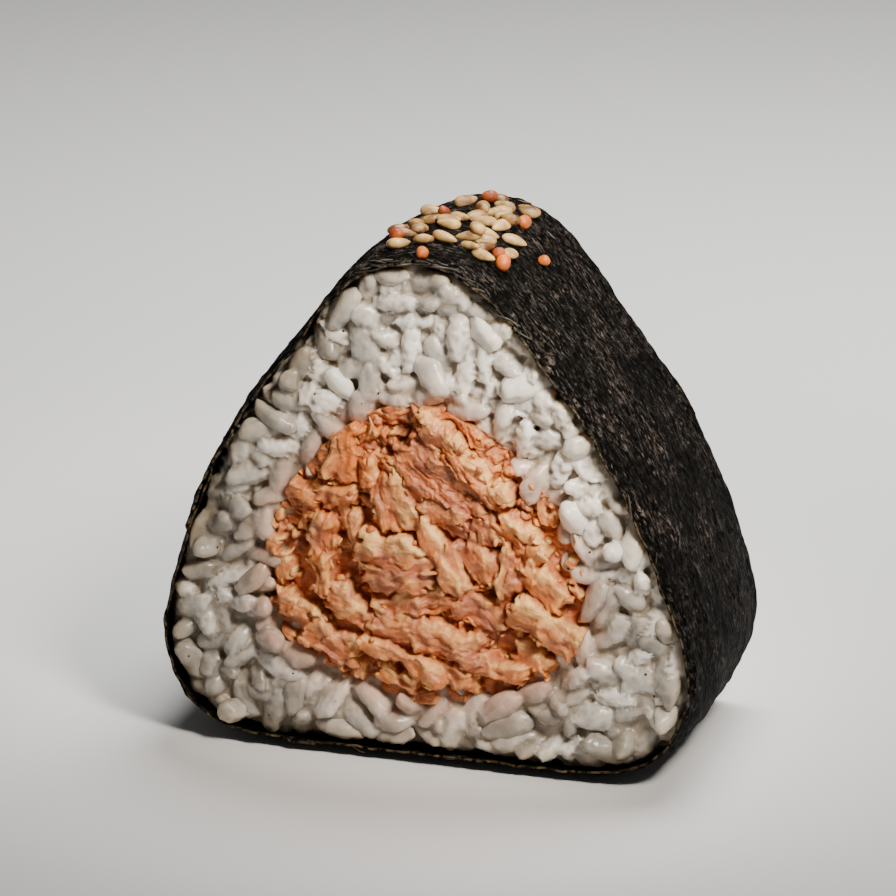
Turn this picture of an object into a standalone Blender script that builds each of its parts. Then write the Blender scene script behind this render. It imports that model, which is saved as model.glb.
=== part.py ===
"""Salmon onigiri: a rice ball pressed into a rounded triangle, with flaked salmon running
through it from face to face and a band of nori wrapped once round its three sides.

Metres, +Z up. X runs across the triangular faces, and Y from the front face (-Y) to the back
face (+Y). The origin is the middle of the flat base that the onigiri stands on.
"""

import math

import bmesh
import bpy
import numpy as np
from mathutils import Vector, noise

# The pressed triangle, measured over the nori.
WIDTH = 0.082
HEIGHT = 0.0765
BASE_CORNER = 0.0155  # radius of the two base corners
APEX_CORNER = 0.0172
APEX_LEAN = -0.0011  # the apex stands a little left of the middle
SIDE_SWELL = 0.0034  # how far a slanting side bows out past its chord
BASE_SWELL = 0.0006
BASE_FLAT = 0.00045  # what standing has pressed off the bow of the base

# The nori band.
BAND_DEPTH = 0.039  # front edge to back edge
NORI_THICKNESS = 0.0004
BAND_CROWN = 0.0007  # how far the band's two edges turn in
CROWN_START = 0.6  # share of the half depth where they start to turn
EDGE_WAVER = 0.0004
LAP_START = 0.435  # share of the way round, on the left side, where the strip starts
LAP_LENGTH = 0.040  # share of the way round that the strip's end lies over its start
LAP_RISE = 0.030  # share of the way round in which the end climbs onto the start

# The rice between the nori and the salmon.
GAP = 0.0003  # left between neighbouring solids
RICE_FACE = 0.0190  # the rice's face, from the middle plane
RIM_DROP = 0.0040  # how far the face rounds off where it meets the nori
RIM_ROUND = 0.0065
RICE_RELIEF = 0.0007
GRAIN_SCALE = 0.0065

# The salmon that runs through the rice.
FILLING_WIDTH = 0.0485
FILLING_HEIGHT = 0.0415
FILLING_BOTTOM = 0.0125
FILLING_BASE_CORNER = 0.0130
FILLING_APEX_CORNER = 0.0095
FILLING_SWELL = 0.0030
FILLING_FACE = 0.0203  # its highest flake, from the middle plane
LIP_DROP = 0.0018  # how far its ends fall back at the rice
LIP_WIDTH = 0.0085
FLAKE_RELIEF = 0.0024
FLAKE_SCALE = 0.0085

# Where fingers pressed the shoulders in: place, depth and spread.
PRESSES = (
    (Vector((0.0225, 0.0150, 0.0600)), 0.0012, 0.0090),
    (Vector((-0.0200, -0.0160, 0.0640)), 0.0010, 0.0090),
)
UNEVENNESS = 0.0004
UNEVEN_SCALE = 0.014
EVEN_BELOW = 0.026  # the base and its corners keep their size up to this height

# How finely each solid is faceted.
STATIONS = 72  # round the rice and the salmon
STRIP_STATIONS = 96  # along the nori
STRIP_ACROSS = (-1.0, -0.82, -0.6, -0.3, 0.0, 0.3, 0.6, 0.82, 1.0)
FACE_SHARES = (0.0, 0.2, 0.4, 0.58, 0.74, 0.87, 0.95, 1.0)  # from the salmon to the nori
HOLE_SPLITS = 2
WALL_SPLITS = 4
END_SHARES = (0.25, 0.5, 0.7, 0.86, 1.0)  # from the middle of the salmon to its side
SIDE_SPLITS = 4

# Colour and roughness.
RICE_LOOK = ((0.80, 0.78, 0.72), 0.35)
SALMON_LOOK = ((0.80, 0.42, 0.25), 0.5)
NORI_LOOK = ((0.012, 0.014, 0.010), 0.45)

MIDDLE = Vector((0.0, 0.032))  # the point in the XZ plane that angles are taken about


class Outline:
    """A rounded triangle in the XZ plane: three corner arcs joined by three shallow side arcs."""

    def __init__(self, width, top, bottom, base_corner, apex_corner, lean, swells):
        corners = (
            (Vector((base_corner - width / 2, bottom + base_corner)), base_corner),
            (Vector((width / 2 - base_corner, bottom + base_corner)), base_corner),
            (Vector((lean, top - apex_corner)), apex_corner),
        )
        sides = [
            self.side(*corners[i], *corners[(i + 1) % 3], swells[i]) for i in range(3)
        ]
        self.arcs = list(sides)
        for i, (centre, radius) in enumerate(corners):
            self.arcs.append((centre, radius, sides[i - 1][3], sides[i][2]))

    @staticmethod
    def side(first, first_radius, second, second_radius, swell):
        """The shallow arc that touches both corner arcs: centre, radius, start and end angle."""
        chord = second - first
        length = chord.length
        radius = length**2 / (8 * swell) + (first_radius + second_radius) / 2
        to_first = radius - first_radius
        to_second = radius - second_radius
        along = (to_first**2 - to_second**2 + length**2) / (2 * length)
        across = math.sqrt(to_first**2 - along**2)
        inward = Vector((-chord.y, chord.x)) / length
        centre = first + chord * (along / length) + inward * across
        return centre, radius, angle_of(first - centre), angle_of(second - centre)

    def reach(self, angle, inset):
        """The distance from MIDDLE to the outline moved in by inset, in this direction."""
        direction = Vector((math.cos(angle), math.sin(angle)))
        found = []
        for centre, radius, start, end in self.arcs:
            along = (centre - MIDDLE).dot(direction)
            off = (centre - MIDDLE).length_squared - along**2
            if (radius - inset) ** 2 < off:
                continue
            distance = along + math.sqrt((radius - inset) ** 2 - off)
            at = angle_of(MIDDLE + direction * distance - centre)
            found.append((outside_span(at, start, end), distance))
        return min(found)[1]


def angle_of(vector):
    return math.atan2(vector.y, vector.x)


def outside_span(angle, start, end):
    """How far an angle lies outside the span that runs anticlockwise from start to end."""
    span = (end - start) % math.tau
    past = (angle - start) % math.tau
    return 0.0 if past <= span else min(past - span, math.tau - past)


def smooth_step(x):
    x = min(max(x, 0.0), 1.0)
    return x * x * (3 - 2 * x)


BALL = Outline(
    WIDTH,
    HEIGHT,
    BASE_SWELL - BASE_FLAT,
    BASE_CORNER,
    APEX_CORNER,
    APEX_LEAN,
    (BASE_SWELL, SIDE_SWELL, SIDE_SWELL),
)
FILLING = Outline(
    FILLING_WIDTH,
    FILLING_BOTTOM + FILLING_HEIGHT,
    FILLING_BOTTOM,
    FILLING_BASE_CORNER,
    FILLING_APEX_CORNER,
    APEX_LEAN,
    (FILLING_SWELL, FILLING_SWELL, FILLING_SWELL),
)


def even_angles(outline, samples=720):
    """A function from the share of the way round the outline, from its right end, to the angle there."""
    angles = np.linspace(0, math.tau, samples + 1)
    reaches = np.array([outline.reach(a, 0.0) for a in angles])
    points = np.column_stack([reaches * np.cos(angles), reaches * np.sin(angles)])
    steps = np.linalg.norm(np.diff(points, axis=0), axis=1)
    shares = np.concatenate([[0], np.cumsum(steps)]) / steps.sum()
    return lambda share: math.tau * (share // 1) + float(
        np.interp(share % 1, shares, angles)
    )


angle_at = even_angles(BALL)


def in_plane(angle, distance, y):
    """The point at this angle and distance from MIDDLE, y behind the middle plane."""
    return Vector(
        (
            MIDDLE.x + distance * math.cos(angle),
            y,
            MIDDLE.y + distance * math.sin(angle),
        )
    )


def crown(y):
    """How far the wall turns in towards the band's edges."""
    past = abs(y) / (BAND_DEPTH / 2) - CROWN_START
    return BAND_CROWN * max(0.0, past / (1 - CROWN_START)) ** 2


def pressed_in(point):
    """How far hands pressed the wall in at a point."""
    depth = sum(
        deep * math.exp(-(((point - place).length / spread) ** 2))
        for place, deep, spread in PRESSES
    )
    uneven = UNEVENNESS * abs(noise.noise(point / UNEVEN_SCALE))
    return (depth + uneven) * smooth_step((point.z - EVEN_BELOW) / EVEN_BELOW)


def wall_point(angle, y, inset):
    """A point on the ball's wall, moved in by inset. The base is pressed flat."""
    rough = in_plane(angle, BALL.reach(angle, 0.0), y)
    inset += crown(y)
    point = in_plane(angle, BALL.reach(angle, inset + pressed_in(rough)), y)
    point.z = max(point.z, inset)
    return point


def turned_about_z(vertex):
    """The angle of a primitive's vertex about Z, as a share of a turn."""
    return math.atan2(vertex.co.y, vertex.co.x) / math.tau % 1


def rice_section():
    """(share of the way from salmon to nori, y) round the rice's section, from the front rim."""
    face = [(share, -RICE_FACE) for share in reversed(FACE_SHARES)]
    hole = [
        (0.0, RICE_FACE * (2 * i / (HOLE_SPLITS + 1) - 1))
        for i in range(1, HOLE_SPLITS + 1)
    ]
    rim = RICE_FACE - RIM_DROP
    wall = [
        (1.0, rim * (1 - 2 * i / (WALL_SPLITS + 1))) for i in range(1, WALL_SPLITS + 1)
    ]
    return face + hole + [(share, RICE_FACE) for share, _ in reversed(face)] + wall


def rim_rounding(from_wall):
    """How far the rice's face falls back at this distance from the wall."""
    into = max(0.0, 1 - from_wall / RIM_ROUND)
    return RIM_DROP * (1 - math.sqrt(1 - into**2))


def rice_point(angle, share, y):
    wall = wall_point(angle, y, NORI_THICKNESS + GAP)
    hole = in_plane(angle, FILLING.reach(angle, -GAP), y)
    point = hole.lerp(wall, share)
    if abs(y) < RICE_FACE:
        return point
    fall = rim_rounding((wall - point).length)
    relief = RICE_RELIEF * noise.noise(point / GRAIN_SCALE) * (share < 1)
    point.y -= math.copysign(fall + abs(relief), y)
    return point


def filling_point(angle, share, y):
    """A point on the salmon: share is 1 on its side and 0 in the middle of an end."""
    reach = FILLING.reach(angle, 0.0)
    point = in_plane(angle, reach * share, y)
    if abs(y) < FILLING_FACE:
        return point
    lip = LIP_DROP * smooth_step(1 - reach * (1 - share) / LIP_WIDTH)
    flakes = FLAKE_RELIEF * abs(noise.noise(point / FLAKE_SCALE))
    point.y -= math.copysign(lip + flakes, y)
    return point


def filling_rings():
    """(share, y) of each ring round the salmon, from the front pole to the back pole."""
    front = [(share, -FILLING_FACE) for share in END_SHARES]
    deepest = FILLING_FACE - LIP_DROP - FLAKE_RELIEF
    side = [
        (1.0, deepest * (2 * i / (SIDE_SPLITS + 1) - 1))
        for i in range(1, SIDE_SPLITS + 1)
    ]
    return front + side + [(share, FILLING_FACE) for share, _ in reversed(front)]


def strip_point(along, across):
    """A point on the inner face of the nori strip, whose end climbs onto its own start."""
    climb = smooth_step((along * (1 + LAP_LENGTH) - 1 + LAP_RISE) / LAP_RISE)
    angle = angle_at(LAP_START + along * (1 + LAP_LENGTH))
    y = across * BAND_DEPTH / 2
    inset = NORI_THICKNESS - climb * (NORI_THICKNESS + GAP)
    point = wall_point(angle, y, inset)
    waver = EDGE_WAVER * noise.noise(point / UNEVEN_SCALE)
    point.y += waver * smooth_step((abs(across) - CROWN_START) / (1 - CROWN_START))
    return point


def finish(name, colour, roughness, collection):
    """Names the new primitive, gives it its material and files it in the collection."""
    made = bpy.context.object
    made.name = name
    made.data.name = name
    material = bpy.data.materials.new(name)
    material.use_nodes = True
    shader = material.node_tree.nodes["Principled BSDF"]
    shader.inputs["Base Color"].default_value = (*colour, 1)
    shader.inputs["Roughness"].default_value = roughness
    made.data.materials.append(material)
    for other in list(made.users_collection):
        other.objects.unlink(made)
    collection.objects.link(made)
    return made


def face_outwards(mesh):
    shape = bmesh.new()
    shape.from_mesh(mesh)
    bmesh.ops.recalc_face_normals(shape, faces=shape.faces)
    shape.to_mesh(mesh)
    shape.free()
    mesh.shade_smooth()


def make_rice(collection):
    """The rice: a ring of section rice_section(), swept round the salmon."""
    section = rice_section()
    bpy.ops.mesh.primitive_torus_add(
        major_segments=STATIONS, minor_segments=len(section), major_radius=2, minor_radius=1
    )
    rice = finish("rice", *RICE_LOOK, collection)
    for vertex in rice.data.vertices:
        angle = angle_at(turned_about_z(vertex))
        outwards = vertex.co.xy.length - 2
        turn = math.atan2(vertex.co.z, outwards) / math.tau
        vertex.co = rice_point(angle, *section[round(turn * len(section)) % len(section)])
    face_outwards(rice.data)
    return rice


def make_filling(collection):
    """The salmon: a plug with flaky ends that stand a little proud of the rice."""
    rings = filling_rings()
    bpy.ops.mesh.primitive_uv_sphere_add(
        segments=STATIONS, ring_count=len(rings) + 1, radius=1
    )
    filling = finish("salmon_filling", *SALMON_LOOK, collection)
    for vertex in filling.data.vertices:
        angle = angle_at(turned_about_z(vertex))
        ring = round(math.acos(-vertex.co.z) / math.pi * (len(rings) + 1))
        if 1 <= ring <= len(rings):
            vertex.co = filling_point(angle, *rings[ring - 1])
        else:
            vertex.co = filling_point(0.0, 0.0, math.copysign(FILLING_FACE, vertex.co.z))
    face_outwards(filling.data)
    return filling


def make_nori(collection):
    """The nori: one thin strip round the ball, its end lapped over its start."""
    last = len(STRIP_ACROSS) - 1
    bpy.ops.mesh.primitive_grid_add(
        x_subdivisions=STRIP_STATIONS, y_subdivisions=last, size=2
    )
    nori = finish("nori", *NORI_LOOK, collection)
    for vertex in nori.data.vertices:
        across = STRIP_ACROSS[round((vertex.co.y + 1) / 2 * last)]
        vertex.co = strip_point((vertex.co.x + 1) / 2, across)
    nori.data.shade_smooth()
    wall = nori.modifiers.new("thickness", "SOLIDIFY")
    wall.thickness = NORI_THICKNESS
    wall.offset = -1
    return nori


def build():
    for old in list(bpy.data.objects):
        bpy.data.objects.remove(old)
    collection = bpy.data.collections.new("onigiri")
    bpy.context.scene.collection.children.link(collection)
    make_rice(collection)
    make_filling(collection)
    make_nori(collection)


build()
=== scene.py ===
"""The salmon onigiri as it looks: cooked grains over a rice core, torn flakes over a salmon core, a
wrinkled band of nori, and toasted sesame seeds and beads on the apex.

Metres, +Z up. The front face is at -Y. Angles run anticlockwise about the axis, a line along Y
through the middle of the nori band, from +X.
"""

import itertools
import math

import bmesh
import bpy
import numpy as np
from mathutils import Matrix, Vector
from mathutils.bvhtree import BVHTree
from mathutils.kdtree import KDTree


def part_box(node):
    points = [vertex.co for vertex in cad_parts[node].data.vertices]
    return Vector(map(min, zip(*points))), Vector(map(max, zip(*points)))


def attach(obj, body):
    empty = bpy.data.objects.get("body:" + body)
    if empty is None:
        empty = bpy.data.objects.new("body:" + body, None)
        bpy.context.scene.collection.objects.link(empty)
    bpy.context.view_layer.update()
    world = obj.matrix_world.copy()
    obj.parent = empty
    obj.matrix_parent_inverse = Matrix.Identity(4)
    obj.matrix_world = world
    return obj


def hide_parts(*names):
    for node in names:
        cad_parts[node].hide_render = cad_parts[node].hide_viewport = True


MM = 0.001
FRONT, BACK = -1, 1  # the side of the middle plane

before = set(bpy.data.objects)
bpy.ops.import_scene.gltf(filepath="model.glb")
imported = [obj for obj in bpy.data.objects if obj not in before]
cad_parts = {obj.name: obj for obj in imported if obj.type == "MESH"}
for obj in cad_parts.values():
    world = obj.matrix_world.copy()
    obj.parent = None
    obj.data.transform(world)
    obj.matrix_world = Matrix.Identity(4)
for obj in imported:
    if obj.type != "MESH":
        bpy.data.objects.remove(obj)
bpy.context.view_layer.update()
band_low, band_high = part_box("nori")
rice_low, rice_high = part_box("rice")
salmon_low, salmon_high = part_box("salmon_filling")
middle = (band_low + band_high) / 2

# ---- Numbers that vary smoothly ----------------------------------------------------------------

GRADIENTS = np.random.default_rng(11).normal(size=(256, 3))
GRADIENTS /= np.linalg.norm(GRADIENTS, axis=1)[:, None]
LEVELS = np.random.default_rng(12).uniform(-1, 1, 1024)
CELL_PRIMES = (73856093, 19349663, 83492791, 49979687)
MIX_PRIME = 1274126177
LOW_BITS = 0x7FFFFFFF
ROUGH_GAIN = 1.7  # brings the sums of slopes to about -1 to 1
CORNERS = np.array(list(itertools.product((0, 1), repeat=3)))


def shuffled(cells, seed):
    """A repeatable number from 0 to 255 for each whole-number cell."""
    x, y, z = (cells[..., i] * CELL_PRIMES[i] for i in range(3))
    stirred = (x ^ y ^ z ^ (seed * CELL_PRIMES[3])) & LOW_BITS
    stirred = ((stirred ^ (stirred >> 13)) * MIX_PRIME) & LOW_BITS
    return (stirred ^ (stirred >> 15)) & 255


def rough(points, size, seed=0):
    """Smooth random numbers, about -1 to 1, that change over a length of size."""
    scaled = np.asarray(points) / size
    cells = np.floor(scaled).astype(np.int64)
    within = (scaled - cells)[..., None, :]
    ease = within**3 * (within * (within * 6 - 15) + 10)
    slopes = ((within - CORNERS) * GRADIENTS[shuffled(cells[..., None, :] + CORNERS, seed)]).sum(-1)
    weights = np.prod(np.where(CORNERS, ease, 1 - ease), axis=-1)
    return (slopes * weights).sum(-1) * ROUGH_GAIN


def layered(points, size, seed=0, layers=3):
    """Rough numbers with finer and weaker ones on top."""
    return sum(rough(points, size / 2**i, seed + i) / 2**i for i in range(layers))


def line(values, size, seed=0):
    """Smooth random numbers, about -1 to 1, along a line."""
    scaled = np.asarray(values) / size + seed * 7.31
    cell = np.floor(scaled).astype(np.int64)
    ease = smooth_step(scaled - cell)
    return LEVELS[cell & 1023] * (1 - ease) + LEVELS[(cell + 1) & 1023] * ease


def smooth_step(x):
    """From 0 to 1 with soft ends, as x goes from 0 to 1."""
    x = np.clip(x, 0, 1)
    return x * x * (3 - 2 * x)


# ---- Where the frame's walls are ---------------------------------------------------------------

ROUND = 720  # stations round each wall
STRAIGHT_DEPTH = 14.0 * MM  # up to here from the middle plane the rice's wall has no rim
WALL_ROWS = 15
WALL_BLUR = 5  # stations


def ray_tree(mesh):
    """What rays are cast on, for a mesh."""
    return BVHTree.FromPolygons([v.co for v in mesh.vertices], [p.vertices for p in mesh.polygons])


def crossings(tree, angle, y):
    """How far out from the axis a ray passes through the solid's surface."""
    start = Vector((middle.x, y, middle.z))
    direction = Vector((math.cos(angle), 0, math.sin(angle)))
    found = []
    while True:
        hit = tree.ray_cast(start + direction * (found[-1] + 1e-6 if found else 0), direction)[0]
        if hit is None:
            return found
        found.append((hit - start).length)


def blurred(table, width):
    """The table with each column blurred round the turn."""
    reach = np.arange(-3 * width, 3 * width + 1)
    weights = np.exp(-((reach / width) ** 2) / 2)
    return sum(w * np.roll(table, r, axis=0) for w, r in zip(weights, reach)) / weights.sum()


class Wall:
    """A wall's smooth distance from the axis, at any angle and depth."""

    def __init__(self, table, deepest):
        self.table = blurred(np.array(table), WALL_BLUR)
        self.deepest = deepest

    def __call__(self, angle, y=0.0):
        angle, y = np.broadcast_arrays(np.asarray(angle, float), np.asarray(y, float))
        rows, columns = self.table.shape
        row = angle / math.tau % 1 * rows
        column = (np.clip(y / self.deepest, -1, 1) + 1) / 2 * (columns - 1)
        r, c = np.floor(row).astype(int), np.minimum(np.floor(column).astype(int), columns - 2)
        fr, fc = row - r, column - c
        r, after = r % rows, (r + 1) % rows
        here = self.table[r, c] * (1 - fc) + self.table[r, c + 1] * fc
        there = self.table[after, c] * (1 - fc) + self.table[after, c + 1] * fc
        return here * (1 - fr) + there * fr


turn = np.linspace(0, math.tau, ROUND, endpoint=False)
wall_depths = np.linspace(-STRAIGHT_DEPTH, STRAIGHT_DEPTH, WALL_ROWS)
rice_solid, salmon_solid, nori_solid = (
    ray_tree(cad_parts[name].data) for name in ("rice", "salmon_filling", "nori")
)
rice_reach = [[crossings(rice_solid, a, y)[-1] for y in wall_depths] for a in turn]
rice_wall = Wall(rice_reach, STRAIGHT_DEPTH)
salmon_wall = Wall([[crossings(salmon_solid, a, 0)[-1]] * 2 for a in turn], 1)

# The nori lies over itself where a ray passes through it twice.
layers_at = np.array([len(crossings(nori_solid, a, 0)) for a in turn])
lap = turn[layers_at == 4]
lap_from, lap_to = lap.min(), lap.max()

# The right wall is away from the lap, so the band's inner face and crown are read there.
BAND_HALF = 19.3 * MM
crown_depths = np.linspace(0, BAND_HALF, 24)
unlapped = turn[(turn > 0.1) & (turn < 1.9)][::8]
inner = np.array([[crossings(nori_solid, a, -y)[0] for y in crown_depths] for a in unlapped])
crown_drop = (inner[:, :1] - inner).mean(axis=0)
nori_gap = float((inner[:, 0] - rice_wall(unlapped, 0)).mean())


def band_radius(angle, y):
    """The nori's inner face, as if it had no lap."""
    kept = np.clip(y, -STRAIGHT_DEPTH, STRAIGHT_DEPTH)
    drop, kept_drop = (np.interp(np.abs(depth), crown_depths, crown_drop) for depth in (y, kept))
    return rice_wall(angle, kept) + nori_gap - (drop - kept_drop)


def about_axis(angle, radius, y):
    """Points from angle, distance from the axis and depth."""
    angle, radius, y = np.broadcast_arrays(angle, radius, y)
    x, z = middle.x + radius * np.cos(angle), middle.z + radius * np.sin(angle)
    return np.stack([x, y, z], axis=-1)


def angle_of(points):
    return np.arctan2(points[..., 2] - middle.z, points[..., 0] - middle.x)


def radius_of(points):
    return np.hypot(points[..., 2] - middle.z, points[..., 0] - middle.x)


# ---- Making meshes -----------------------------------------------------------------------------


def make_piece(name, points, faces, values=None):
    """A smooth mesh object from points and faces, with values as attributes of its points."""
    mesh = bpy.data.meshes.new(name)
    mesh.from_pydata(np.asarray(points).tolist(), [], [list(map(int, face)) for face in faces])
    set_values(mesh, values or {})
    mesh.shade_smooth()
    mesh.validate()
    piece = bpy.data.objects.new(name, mesh)
    bpy.context.scene.collection.objects.link(piece)
    return piece


def set_values(mesh, values):
    """Named attributes of the mesh's points, from arrays."""
    for name, value in values.items():
        value = np.asarray(value, np.float32)
        kind, field = ("FLOAT_VECTOR", "vector") if value.ndim == 2 else ("FLOAT", "value")
        mesh.attributes.new(name, kind, "POINT").data.foreach_set(field, value.ravel())


def read(items, field, width=1, kind=float):
    """One field of every item of a mesh, as an array with a row for each item."""
    values = np.empty(len(items) * width, kind)
    items.foreach_get(field, values)
    return values.reshape(-1, width) if width > 1 else values


def positions(mesh):
    return read(mesh.vertices, "co", 3)


def normals(mesh):
    return read(mesh.vertex_normals, "vector", 3)


def edge_ends(mesh):
    return read(mesh.edges, "vertices", 2, np.int64)


def with_modifier(piece, kind, **settings):
    """Replaces the piece's mesh by what one modifier makes of it."""
    modifier = piece.modifiers.new(kind.lower(), kind)
    for name, value in settings.items():
        setattr(modifier, name, value)
    bake_modifiers(piece)


def bake_modifiers(piece):
    """Replaces the piece's mesh by what all its modifiers make of it."""
    evaluated = piece.evaluated_get(bpy.context.evaluated_depsgraph_get())
    mesh = bpy.data.meshes.new_from_object(evaluated)
    mesh.shade_smooth()
    mesh.name = piece.name
    piece.modifiers.clear()
    piece.data = mesh


def grid_faces(index, close_rows=False, close_columns=False):
    """Quads between neighbouring entries of a table of point numbers."""
    if close_rows:
        index = np.vstack([index, index[:1]])
    if close_columns:
        index = np.hstack([index, index[:, :1]])
    corners = [index[:-1, :-1], index[1:, :-1], index[1:, 1:], index[:-1, 1:]]
    return np.stack(corners, axis=-1).reshape(-1, 4)


def outwards(faces, points):
    """The faces, all turned round if they enclose a negative volume with the ball's middle."""
    a, b, c, d = np.moveaxis(points[faces] - np.array(middle), 1, 0)
    volume = (a * (np.cross(b, c) + np.cross(c, d))).sum()
    return faces if volume > 0 else faces[:, ::-1]


def gridded(table, points):
    """Values between the stations of an evenly spaced table: x stations, z stations, values."""
    xs, zs, values = table
    column = np.clip((points[..., 0] - xs[0]) / (xs[1] - xs[0]), 0, len(xs) - 1.001)
    row = np.clip((points[..., 2] - zs[0]) / (zs[1] - zs[0]), 0, len(zs) - 1.001)
    i, j = column.astype(int), row.astype(int)
    u, v = column - i, row - j
    low = values[i, j] * (1 - u) + values[i + 1, j] * u
    high = values[i, j + 1] * (1 - u) + values[i + 1, j + 1] * u
    return low * (1 - v) + high * v


def flat_grid(low, high, step):
    """The stations of an even table from low to high, and its points in the middle plane."""
    xs, zs = np.arange(low.x, high.x + step, step), np.arange(low.z, high.z + step, step)
    x, z = np.meshgrid(xs, zs, indexing="ij")
    return xs, zs, np.stack([x, np.zeros_like(x), z], -1)


# ---- Shapes scattered on points ----------------------------------------------------------------


def set_inputs(made, inputs):
    """Gives each named input of a node a value, or the socket that feeds it."""
    for name, value in inputs.items():
        socket = made.inputs[name]
        if isinstance(value, bpy.types.NodeSocket):
            made.id_data.links.new(value, socket)
        else:
            socket.default_value = value


def node(tree, kind, inputs=None, **settings):
    """A new node of the tree, with its inputs given or fed."""
    made = tree.nodes.new(kind)
    for name, value in settings.items():
        setattr(made, name, value)
    set_inputs(made, inputs or {})
    return made


def scatter_tree(shapes, material):
    """Puts one of the shapes on every point, turned and sized by the point's own values."""
    tree = bpy.data.node_groups.new("scatter_" + material.name, "GeometryNodeTree")
    tree.is_modifier = True
    tree.interface.new_socket("Points", in_out="INPUT", socket_type="NodeSocketGeometry")
    overall = tree.interface.new_socket("Overall Size", in_out="INPUT", socket_type="NodeSocketFloat")
    tree.interface.new_socket("Scattered", in_out="OUTPUT", socket_type="NodeSocketGeometry")
    given, end = node(tree, "NodeGroupInput").outputs, node(tree, "NodeGroupOutput")
    kinds = node(tree, "GeometryNodeJoinGeometry")
    for shape in reversed(shapes):
        info = node(tree, "GeometryNodeObjectInfo", {"Object": shape, "As Instance": True})
        set_inputs(kinds, {"Geometry": info.outputs["Geometry"]})
    named = "GeometryNodeInputNamedAttribute"
    kind, turn, size = (
        node(tree, named, {"Name": name}, data_type=data).outputs["Attribute"]
        for name, data in (("kind", "INT"), ("turn", "FLOAT_VECTOR"), ("size", "FLOAT_VECTOR"))
    )
    turned = node(tree, "FunctionNodeEulerToRotation", {"Euler": turn})
    sizes = {0: size, "Scale": given["Overall Size"]}
    sized = node(tree, "ShaderNodeVectorMath", sizes, operation="SCALE")
    placing = {
        "Points": given["Points"],
        "Instance": kinds.outputs["Geometry"],
        "Pick Instance": True,
        "Instance Index": kind,
        "Rotation": turned.outputs["Rotation"],
        "Scale": sized.outputs["Vector"],
    }
    placed = node(tree, "GeometryNodeInstanceOnPoints", placing)
    real = node(tree, "GeometryNodeRealizeInstances", {"Geometry": placed.outputs["Instances"]})
    finish = {"Geometry": real.outputs["Geometry"], "Material": material}
    finished = node(tree, "GeometryNodeSetMaterial", finish)
    set_inputs(end, {"Scattered": finished.outputs["Geometry"]})
    return tree, overall.identifier


def scatter(name, shapes, places, kinds, turns, sizes, material, values, overall=1.0):
    """One piece with a shape at every place. The shapes are templates, removed afterwards."""
    piece = make_piece(name, places, [], values)
    set_values(piece.data, {"turn": turns, "size": sizes})
    kind = piece.data.attributes.new("kind", "INT", "POINT")
    kind.data.foreach_set("value", np.asarray(kinds, np.int32))
    tree, overall_size = scatter_tree(shapes, material)
    modifier = piece.modifiers.new("scatter", "NODES")
    modifier.node_group = tree
    modifier[overall_size] = overall
    bake_modifiers(piece)
    for shape in shapes:
        bpy.data.objects.remove(shape)
    return piece


def turn_to(axis, facing, roll):
    """The Euler angles that lay a shape's X along axis and its Z near facing, rolled about X."""
    x = Vector(axis).normalized()
    y = Vector(facing).cross(x).normalized()
    z = x.cross(y)
    basis = Matrix((x, y, z)).transposed() @ Matrix.Rotation(roll, 3, "X")
    return tuple(basis.to_euler())


def templates(name, count, rings, segments, form):
    """Closed shapes round X: form(number) gives the points at (along -1 to 1, angle round X)."""
    alongs = -np.cos(np.linspace(0, math.pi, rings + 2)[1:-1])
    angles = np.linspace(0, math.tau, segments, endpoint=False)
    along, angle = np.meshgrid(alongs, angles, indexing="ij")
    index = np.arange(rings * segments).reshape(rings, segments)
    faces = grid_faces(index, close_columns=True)[:, ::-1].tolist()
    first, last = rings * segments, rings * segments + 1
    for i in range(segments):
        after = (i + 1) % segments
        faces.append((first, index[0, after], index[0, i]))
        faces.append((last, index[-1, i], index[-1, after]))
    made = []
    for number in range(count):
        shaped = form(number)
        points = [shaped(along.ravel(), angle.ravel()), shaped(np.array([-1.0, 1.0]), np.zeros(2))]
        made.append(make_piece(f"{name}_{number}", np.vstack(points), faces))
    return made


def lump_form(size, dent, dent_size, seed, taper=0.0):
    """A rounded lump with the given length, width and thickness, dented, thinner at one end."""

    def shaped(along, angle):
        radius = np.sqrt(np.maximum(0, 1 - along**2)) * (1 - taper * along)
        points = np.column_stack([along, np.cos(angle) * radius, np.sin(angle) * radius])
        points *= np.array(size) / 2
        return points * (1 + dent * rough(points, dent_size, seed)[:, None])

    return shaped


def strand_form(length, width, blunt, flat, bend, lift, seed):
    """A thin strand that wanders sideways by bend and up by lift, each a (reach, wavelength)."""

    def shaped(along, angle):
        radius = np.sqrt(np.maximum(0, 1 - np.abs(along) ** blunt)) * width / 2
        x = along * length / 2
        y = np.cos(angle) * radius + bend[0] * line(x, bend[1], seed)
        z = np.sin(angle) * radius * flat + lift[0] * line(x, lift[1], seed + 1)
        return np.column_stack([x, y, z])

    return shaped


# ---- Rice --------------------------------------------------------------------------------------

GRAIN_LENGTH = 7.2 * MM
GRAIN_PLUMP = 0.53  # width as a share of the length
GRAIN_FLAT = 0.86  # thickness as a share of the width
GRAIN_KINDS = 12
GRAIN_SHAPE = (12, 16)  # rings and segments
GRAIN_SEED = 60
LAYERS = ((-0.6 * MM, 9.0), (0.2 * MM, 3.3), (1.9 * MM, 3.6))  # depth under the face, spacing in mm
LOOSE_ABOVE = -0.45 * MM  # grains less deep than this lie loose on the others
PACK_STEPS = 50
PUSHED, TURNED, DRAWN, HEMMED = 0.28, 0.8, 0.16, 0.5  # how much of a fault one step puts right
SQUEEZE = 0.70  # cooked grains settle into each other by this share of their radius
FACE_STEP = 0.8 * MM  # between the stations of the table of the rice's face
SALMON_HEM = 0.7 * MM  # grain centres stay this far outside the salmon, on average
NORI_ROOM = 2.0 * MM  # grain centres start this far inside the nori
WALL_GAP = 0.4 * MM  # between the settled grains and the nori
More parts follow.
